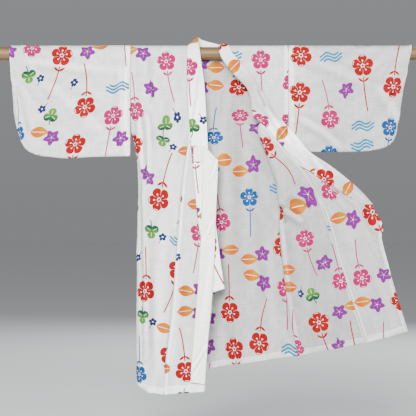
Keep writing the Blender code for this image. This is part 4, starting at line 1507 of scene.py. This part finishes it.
# Rows of the collar: its sewn edge, the middle of its roll and its free edge, x y z each
COLLAR_ROWS = table(
    (5.6, -18, -477, 17.3, -19.5, -473, 29, -21, -469),
    (-6, -19, -423, 7.9, -20.5, -422, 21.8, -22, -421),
    (-20.4, -18.6, -352, -3.9, -20.1, -351, 12.6, -21.6, -350),
    (-30.4, -17.6, -262, -13.9, -19.1, -261, 2.6, -20.6, -260),
    (-36.2, -17, -194, -19.9, -18.3, -194, -3.6, -19.6, -194),
    (-40, -16.6, -146, -23.2, -17.8, -145, -6.4, -19, -144),
    (-43.4, -16.2, -98, -26.2, -17.3, -97, -9, -18.4, -96),
    (-44.6, -16, -58, -28.3, -17, -57, -12, -18, -56),
    (-45.2, -16, -24, -31.1, -17.1, -23, -17, -18.2, -22),
    (-45.2, -15.9, 0, -32.9, -17.2, 3, -20.6, -18.6, 6),
    (-45, -11, 11.2, -34.3, -12, 16.6, -23.6, -13, 22),
    (-43.6, 0, 15.7, -34.3, -2, 24.1, -25, -4, 32.5),
    (-40.6, 11.2, 11.2, -31.5, 8.6, 21.9, -22.4, 6, 32.5),
    (-36, 16, 1, -26.5, 14.5, 15, -17, 13, 29),
    (-26, 16.8, -8, -17, 16.7, 9.2, -8, 16.6, 26.5),
    (-4, 17, -11.4, -1.5, 17.3, 6.3, 1, 17.6, 24),
    (9, 16.8, -9.6, 10, 17.2, 6, 10, 17.4, 21.6),
    (17.6, 16.4, -4.6, 17, 17.4, 8, 18, 17, 19.6),
    (23, 15, 4.4, 20, 14.6, 12.6, 25, 12, 19.4),
    (28, 9.4, 12.6, 21, 6.4, 17, 31, 4, 19.4),
    (30.6, 0, 15.6, 20.4, -2, 17.8, 36, -7, 17.8),
    (31, -11.2, 11.2, 19, -12.8, 12, 40, -16.6, 10),
    (30.4, -15.9, 0, 19, -18, 0, 45, -20.4, -1),
    (38, -15.9, -20, 29, -18.6, -19, 58, -21.6, -16),
    (52, -15.7, -38, 43, -18.6, -38, 73, -22, -35),
    (66, -15.4, -53, 58.6, -18.6, -54, 86, -23, -51),
    (79, -15.1, -68, 73, -18.6, -69, 99, -24, -70),
    (85, -14.8, -86, 80.6, -18.4, -87, 110, -25, -86),
    (88, -14.5, -112, 84.6, -18.4, -113, 123, -26, -110),
    (92, -15.2, -132, 92.6, -20, -133, 131, -28, -128),
    (110, -22.6, -147, 121, -28, -137, 136, -29, -132),
    (128, -23.8, -168, 141, -30, -156, 153, -30, -146),
    (151, -24.4, -193.4, 163, -30, -180, 174, -31, -169),
    (176, -24.2, -223, 187, -28, -210, 197, -30, -197),
    (216, -23, -252, 226, -25.4, -238, 236, -27, -223),
    (253, -21.4, -279, 263, -22.6, -265, 273, -23, -251),
    (282, -19.6, -297.6, 293, -20, -288, 304, -20, -279),
    (296, -18.4, -302, 310, -18.2, -302, 324.4, -18, -302),
)


@dataclass
class Collar(ClothPiece):
    """The band collar from its right end, up, round behind the neck and down the opened left edge."""

    PLUMPNESS = 0.35
    PLUMP_POWER = 0.7

    def rows(self) -> np.ndarray:
        """The sections across the band, from its right end to its left end."""
        return COLLAR_ROWS.reshape(-1, 3, 3)

    def walls(self, made: Grid) -> tuple[np.ndarray, np.ndarray]:
        """A band of two layers, a little padded along its middle by the allowance inside it."""
        half, _ = super().walls(made)
        width = made.left + made.right
        share = np.clip(made.left / np.maximum(width, 1.0), 0.0, 1.0)
        plump = 1 + self.PLUMPNESS * np.sin(math.pi * share) ** self.PLUMP_POWER
        return half * plump, half * plump


# Rows of the tie: its left and right edges, x z each, and its y
TIE_ROWS = table(
    (-33, -187, -33, -217, -19.6),
    (-22, -187, -10, -217, -21.8),
    (-12, -188, 15, -216, -23.2),
    (-10.6, -186.4, 17.2, -214.6, -25),
    (-12.4, -188.4, 16, -216.4, -26.8),
    (-14.4, -222, 16, -226, -27.2),
    (-15, -250, 15, -252, -27),
    (-17, -331, 11.6, -331, -26.6),
    (-22, -435, 7.6, -435, -26.6),
    (-26, -490, 4, -490, -25),
    (-33.4, -575, -4, -575, -21),
    (-37.4, -625, -8, -628, -19),
    (-38.4, -656, -10, -660, -18),
)


@dataclass
class Tie(ClothPiece):
    """The tie: a stub sewn on the collar, folded over at 45 degrees and hanging."""

    def rows(self) -> np.ndarray:
        """The sections across the tie, from its sewn end to its free end."""
        rows = []
        for left_x, left_z, right_x, right_z, y in TIE_ROWS:
            left = np.array((left_x, y, left_z))
            right = np.array((right_x, y, right_z))
            rows.append([left, (left + right) / 2, right])
        return np.array(rows)

    def material(self) -> bpy.types.Material:
        """Plain white cotton."""
        return PlainCotton().make("tie_cloth")


# Sections of the sleeves: x on the rod, and x and z of the lower fold
SLEEVE_RIGHT_ROWS = table(
    (-401, -391.8, -119),
    (-396, -387, -145),
    (-389, -380.8, -167),
    (-378, -370, -189),
    (-356, -348.6, -202),
    (-318, -313, -207.4),
    (-286, -284, -209.4),
    (-242, -242, -207),
    (-200, -201, -206),
    (-158.6, -160, -205),
)
SLEEVE_LEFT_ROWS = table(
    (156.6, 157.4, -196),
    (200, 200, -196.6),
    (246, 246, -197),
    (282, 280, -196.6),
    (334, 322, -194),
    (366, 352, -186.4),
    (382, 365.6, -176),
    (392, 372.4, -160),
    (399, 374.6, -142),
    (403, 376.6, -119),
)
SLEEVE_FOLD = 2.2


@dataclass
class Sleeve(ClothPiece):
    """A flat tube of a sleeve on the rod, sewn along its lower edge, open at the cuff and the body."""

    sections: np.ndarray | None = None

    def rows(self) -> np.ndarray:
        """Sections along the arm, each from the lower seam up the front, over the rod and down behind."""
        return np.array([self.section(row) for row in self.sections])

    @staticmethod
    def section(row: np.ndarray) -> list:
        """Points round the sleeve at one place along the arm."""
        top_x, low_x, low_z = row
        low = low_z + SLEEVE_FOLD
        side = []
        for angle in (90.0, 60.0, 30.0, 0.0):
            turn = math.radians(angle)
            side.append((SLEEVE_FOLD * math.cos(turn), low - SLEEVE_FOLD * math.sin(turn)))
        for share in (0.97, 0.9, 0.75, 0.6, 0.45, 0.3, 0.15, 0.05):
            side.append((HANG_RADIUS + (SLEEVE_FOLD - HANG_RADIUS) * share, low * share))
        for angle in (0.0, 22.5, 45.0, 67.5):
            turn = math.radians(angle)
            side.append((HANG_RADIUS * math.cos(turn), HANG_RADIUS * math.sin(turn)))
        loop = [(-y, z) for y, z in side] + [(0.0, HANG_RADIUS)] + side[::-1]
        points = []
        for y, z in loop:
            share = (HANG_RADIUS - z) / (HANG_RADIUS - low_z)
            points.append((top_x + (low_x - top_x) * share, y, z))
        return points

    def front_share(self, in_front: np.ndarray) -> np.ndarray:
        """The front creases lie on the front layer alone."""
        return in_front


@dataclass
class Rod:
    """The plain round rod through both sleeves, with softened ends."""

    radius: float = ROD_RADIUS
    half_length: float = ROD_HALF_LENGTH
    sides: int = 64
    lengths: int = 60
    softening: float = 1.6
    unevenness: float = 0.004
    bevel_steps: int = 4
    smooth_below: float = math.radians(50)

    def build(self) -> None:
        """Models the rod, gives it the slight unevenness of turned wood and dresses it."""
        bpy.ops.mesh.primitive_cylinder_add(
            vertices=self.sides,
            radius=self.radius * MM,
            depth=2 * self.half_length * MM,
            rotation=(0.0, math.pi / 2, 0.0),
        )
        rod = bpy.context.object
        rod.name = rod.data.name = "wooden_rod"
        bpy.ops.object.transform_apply(location=True, rotation=True, scale=True)
        bevel = rod.modifiers.new("Softened ends", "BEVEL")
        bevel.width = self.softening * MM
        bevel.segments = self.bevel_steps
        bevel.limit_method = "ANGLE"
        bpy.ops.object.modifier_apply(modifier=bevel.name)
        bpy.ops.object.mode_set(mode="EDIT")
        for cut in range(1, self.lengths):
            x = (cut / self.lengths * 2 - 1) * (self.half_length - self.softening * 2) * MM
            bpy.ops.mesh.select_all(action="SELECT")
            bpy.ops.mesh.bisect(plane_co=(x, 0, 0), plane_no=(1, 0, 0))
        bpy.ops.object.mode_set(mode="OBJECT")
        for vertex in rod.data.vertices:
            wave = math.sin(vertex.co.x * 31.0) + 0.6 * math.sin(vertex.co.x * 83.0 + 1.0)
            vertex.co.y *= 1 + self.unevenness * wave
            vertex.co.z *= 1 + self.unevenness * wave
        bpy.ops.object.shade_smooth_by_angle(angle=self.smooth_below)
        rod.data.materials.append(RodWood().make("rod_wood"))
        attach(rod, BODY)
        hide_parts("rod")
        LOG.info("wooden_rod: %d faces", len(rod.data.polygons))


@dataclass
class Stage:
    """The pale floor, the soft lights and the camera, none of which is part of the kimono.

    Each of LIGHTS has its name, its place and its side in metres, and its power in watts.
    """

    LIT_PLACE = (0.0, 0.0, -0.3)
    LIGHTS = (
        ("key_light", (-0.45, -3.0, 0.75), 1.3, 335.0),
        ("fill_light", (1.6, -2.8, -0.1), 2.2, 75.0),
        ("back_light", (0.8, 2.6, 1.2), 2.0, 90.0),
    )

    camera_distance_m: float = 3.2
    view_width_m: float = 0.832
    centre_x_m: float = -0.004
    centre_z_m: float = -0.309
    sensor_mm: float = 36.0
    floor_z_m: float = -0.80
    floor_colour: Colour = (0.545, 0.553, 0.562)
    horizon: Colour = (0.235, 0.240, 0.246)
    overhead: Colour = (0.50, 0.51, 0.52)

    def floor(self) -> None:
        """A wide pale floor below the hem."""
        bpy.ops.mesh.primitive_plane_add(size=40.0, location=(0.0, 0.0, self.floor_z_m))
        floor = bpy.context.object
        floor.name = "floor"
        finish = bpy.data.materials.new("floor_paint")
        finish.use_nodes = True
        shader = finish.node_tree.nodes["Principled BSDF"]
        shader.inputs["Base Color"].default_value = (*self.floor_colour, 1.0)
        shader.inputs["Roughness"].default_value = 1.0
        shader.inputs["Specular IOR Level"].default_value = 0.0
        floor.data.materials.append(finish)

    def light(self, name: str, place: tuple, size: float, power: float) -> None:
        """One soft square light, turned to the kimono.

        Args:
            name: Its name.
            place: Where it stands, in metres.
            size: The length of its side, in metres.
            power: Its power, in watts.
        """
        data = bpy.data.lights.new(name, "AREA")
        data.size = size
        data.energy = power
        lamp = bpy.data.objects.new(name, data)
        lamp.location = place
        way = [b - a for a, b in zip(place, self.LIT_PLACE)]
        flat = math.hypot(way[0], way[1])
        lamp.rotation_euler = (math.atan2(flat, -way[2]), 0.0, math.atan2(way[1], way[0]) - math.pi / 2)
        bpy.context.collection.objects.link(lamp)

    def lights(self) -> None:
        """A soft key from the upper left, a fill, a light behind, and an even surround."""
        for name, place, size, power in self.LIGHTS:
            self.light(name, place, size, power)
        world = bpy.data.worlds.new("studio")
        world.use_nodes = True
        sky = Shading(world.node_tree)
        height = sky.split(sky.node("TexCoord").outputs["Generated"])[2]
        colour = sky.ramp(height, ((0.0, self.horizon), (1.0, self.overhead)))
        feed(sky.tree, sky.tree.nodes["Background"].inputs[0], colour)
        bpy.context.scene.world = world

    def camera(self) -> None:
        """A level camera straight in front, with a long lens."""
        data = bpy.data.cameras.new("camera")
        data.sensor_width = self.sensor_mm
        data.lens = self.sensor_mm * self.camera_distance_m / self.view_width_m
        data.clip_end = 100.0
        camera = bpy.data.objects.new("camera", data)
        camera.location = (self.centre_x_m, -self.camera_distance_m, self.centre_z_m)
        camera.rotation_euler = (math.pi / 2, 0.0, 0.0)
        bpy.context.collection.objects.link(camera)
        bpy.context.scene.camera = camera

    def build(self) -> None:
        """Sets the whole stage."""
        self.floor()
        self.lights()
        self.camera()


def hang(piece: ClothPiece, needle: Needle) -> None:
    """Args:
        piece: The piece.
        needle: What sews its seams.
    """
    made = piece.build(needle)
    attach(made, BODY)
    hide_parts(piece.node)


def creased(*rows: Sequence[float]) -> tuple[Crease, ...]:
    """Creases, each from its numbers in the order of the fields of Crease."""
    return tuple(Crease(*row) for row in rows)


def cloth_pieces() -> list[ClothPiece]:
    """Every cloth piece with the solid it stands for, its cut, bands and creases."""
    return [
        Back(
            "back_panel",
            "back",
            Cut(0.335, 0.68, 0.192, print_u=0.31, print_v=-0.05, lay=Lay.UP),
            Bands(low=13.0),
            Joined(left=0.6, right=0.6, top=0.5),
            creases=creased(
                (18, -120, 30, -560, 3.06, 20, 6),
                (72, -150, 92, -520, 2.7, 18, -6),
                (46, -60, 56, -330, -2.34, 16, 4),
                (112, -330, 128, -590, 2.52, 14, 3),
                (2, -330, 6, -600, -2.52, 14, 2),
                (-90, -60, -70, -560, 3.6, 22, 8),
                (-30, -90, -34, -600, -2.88, 20, -6),
            ),
            # Painted shade: the back's inside darker than the fronts
            painted_shade_tones=((0.0, 0.33), (0.40, 0.31), (0.62, 0.36)),
            seed=3,
            seams=(Seam("low", 11.8),),
        ),
        RightFront(
            "right_front_panel",
            "front_right",
            Cut(0.155, 0.70, 0.085, print_u=0.02, print_v=0.0),
            Bands(low=14.0),
            Joined(left=0.6, right=0.7, top=0.5),
            creases=creased(
                (-142, -118, -135, -245, 2.7, 4.5, 0),
                (-133, -126, -128, -262, -3.06, 4, 1.5),
                (-126, -122, -121, -205, 1.98, 5, 1),
                (-121, 0, -117, -110, -1.44, 9, 1),
                (-139, -150, -133, -640, -1.7, 3.2, 0),
                (-96, -300, -104, -640, 2.7, 15, 4),
                (-62, -60, -80, -420, 2.16, 17, -5),
                (-118, -400, -120, -650, -2.34, 9, 2),
            ),
            seed=5,
            seams=(Seam("low", 12.8),),
        ),
        RightOverlap(
            "right_overlap_panel",
            "okumi_right",
            Cut(0.085, 0.51, 0.030, print_u=0.60, print_v=0.11),
            Bands(left=7.0, low=17.0),
            Joined(left=0.2, right=1.0, top=0.4),
            creases=creased(
                (-60, -230, -78, -420, 1.8, 9, 2),
                (-62, -440, -76, -640, 2.16, 12, -3),
            ),
            seed=7,
            seams=(Seam("low", 15.8), Seam("left", 5.8)),
        ),
        LeftFront(
            "left_front_panel",
            "front_left",
            Cut(0.19, 0.69, 0.068, print_u=0.83, print_v=0.04),
            Bands(left=9.0, right=5.0, low=13.0),
            Joined(left=0.6, right=0.4, top=0.5),
            creases=creased(
                (144, -312, 186, -338, 3.06, 6, 2),
                (138, -300, 150, -345, -2.7, 6, 2),
                (150, -290, 205, -310, -1.8, 9, 3),
                (140, -345, 152, -470, 2.52, 9, 3),
                (168, -340, 196, -560, 2.16, 16, 5),
            ),
            # Painted shade: darker down the opened front
            painted_shade_tones=((0.0, 0.48), (0.10, 0.46), (0.20, 0.45), (0.28, 0.33), (0.36, 0.28)),
            seed=9,
            seams=(Seam("low", 11.8), Seam("left", 7.8)),
        ),
        LeftOverlap(
            "left_overlap_panel",
            "okumi_left",
            Cut(0.12, 0.35, 0.030, print_u=1.22, print_v=0.27),
            Bands(left=5.0, right=8.0, low=13.0),
            Joined(left=0.4, right=0.0, top=1.0),
            creases=creased(
                (262, -330, 320, -520, 2.7, 14, 5),
                (300, -300, 352, -440, -2.34, 12, 4),
                (330, -440, 372, -560, 1.98, 12, 3),
            ),
            # Painted shade: darker than the fronts
            painted_shade_tones=((0.0, 0.34),),
            seed=11,
            seams=(Seam("low", 11.8), Seam("right", 6.8)),
            still=(True, False, True, False),
        ),
        Collar(
            "collar_band",
            "collar",
            Cut(0.040, 1.15, 0.036, print_u=1.55, print_v=0.02),
            Bands(),
            Joined(left=1.0, right=0.0, top=0.0, low=0.0),
            thickness=COLLAR_THICKNESS,
            thread=2.4,
            creases=creased(
                (108, -106, 164, -187, 2.2, 4.5, 0),
                (92, -70, 112, -112, -1.4, 3.5, 0),
                (150, -196, 186, -228, -1.6, 3.4, 1),
                (200, -208, 242, -256, 1.9, 5, 2),
                (222, -250, 296, -306, -1.8, 3, 1),
                (268, -262, 312, -296, 1.4, 5, 0),
                (-22, -40, -38, -150, -1.1, 4, 1),
                (-34, -240, -46, -560, 0.9, 6, 2),
            ),
            seed=13,
            softness=0.4,
            still=(True, False, False, False),
            # Painted shade and light, changing part by part along the collar
            painted_shade_tones=(
                (0.0, 0.92),
                (0.34, 0.90),
                (0.43, 0.74),
                (0.56, 0.72),
                (0.645, 0.62),
                (0.70, 0.36),
                (0.76, 0.38),
                (0.83, 0.95),
                (0.90, 0.60),
                (1.0, 0.38),
            ),
        ),
        Tie(
            "tie_strip",
            "tie",
            Cut(0.031, 0.50, 0.0150),
            Bands(),
            Joined(0.0, 0.0, 0.0, 0.0),
            thickness=TIE_THICKNESS,
            thread=2.4,
            creases=creased(
                (15, -208, 0, -252, 0.9, 2.6, 1.5),
                (6, -330, -17, -378, 0.7, 2.4, 1.5),
                (-6, -578, -38, -628, 0.9, 2.4, 1.5),
                (-8, -592, -38, -640, -0.9, 2.2, 1.5),
                (2, -400, -18, -560, 1.44, 7, 1.5),
            ),
            seed=15,
            seams=(
                Seam("top", 3.0, 2.6, 3.0, 27.0, 1.9),
                Seam("top", 22.0, 2.6, 3.0, 27.0, 1.9),
                Seam("left", 3.0, 2.6, 3.0, 21.0, 1.9),
                Seam("right", 3.0, 2.6, 3.0, 21.0, 1.9),
                Seam("left", 1.8, 4.5, 60.0),
            ),
            softness=0.35,
            still=(False, False, False, False),
            slot="plain_cotton",
        ),
        Sleeve(
            "right_sleeve",
            "sleeve_right",
            Cut(0.47, 0.245, 0.108, print_u=1.02, print_v=0.33, lay=Lay.ROUND),
            Bands(top=4.0, low=12.0),
            Joined(left=0.0, right=0.0, top=0.0, low=0.3),
            creases=creased(
                (-380, -12, -190, -34, 1.62, 10, -3),
                (-330, -60, -205, -170, 1.8, 15, 6),
                (-178, -20, -172, -190, 1.44, 8, 0),
                (-392, -60, -360, -170, -1.62, 9, 3),
            ),
            back_creases=creased(
                (-370, -20, -200, -60, 1.98, 12, 4),
                (-340, -90, -200, -160, -1.8, 14, 5),
            ),
            seed=17,
            seams=(Seam("low", 10.8),),
            still=(True, True, False, True),
            sections=SLEEVE_RIGHT_ROWS,
        ),
        Sleeve(
            "left_sleeve",
            "sleeve_left",
            Cut(0.45, 0.247, 0.105, print_u=2.02, print_v=0.63, lay=Lay.ROUND),
            Bands(top=11.0, low=4.0),
            Joined(left=0.0, right=0.0, top=0.3, low=0.0),
            creases=creased(
                (205, -18, 330, -70, 1.98, 12, 5),
                (176, -128, 262, -186, 2.34, 9, 4),
                (330, -60, 386, -150, 1.8, 12, 3),
                (166, -128, 152, -150, 2.7, 4, 0),
            ),
            back_creases=creased(
                (200, -30, 350, -90, 1.98, 12, -4),
                (190, -150, 330, -120, -1.8, 12, 5),
            ),
            # Painted shade: darker below the rod
            painted_shade_tones=((0.0, 0.46), (0.08, 0.36), (0.24, 0.38)),
            seed=19,
            seams=(Seam("top", 9.8),),
            still=(True, True, True, False),
            sections=SLEEVE_LEFT_ROWS,
        ),
    ]


def main() -> None:
    """Builds the rod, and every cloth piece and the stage."""
    logging.basicConfig(level=logging.INFO, format="%(message)s")
    bpy.ops.object.select_all(action="DESELECT")
    Rod().build()
    hem_needle = Needle("hem_stitches")
    tie_needle = Needle("tie_stitches")
    for piece in cloth_pieces():
        hang(piece, tie_needle if piece.node == "tie" else hem_needle)
    hem_needle.build()
    tie_needle.build()
    Stage().build()


if __name__ == "__main__":
    main()
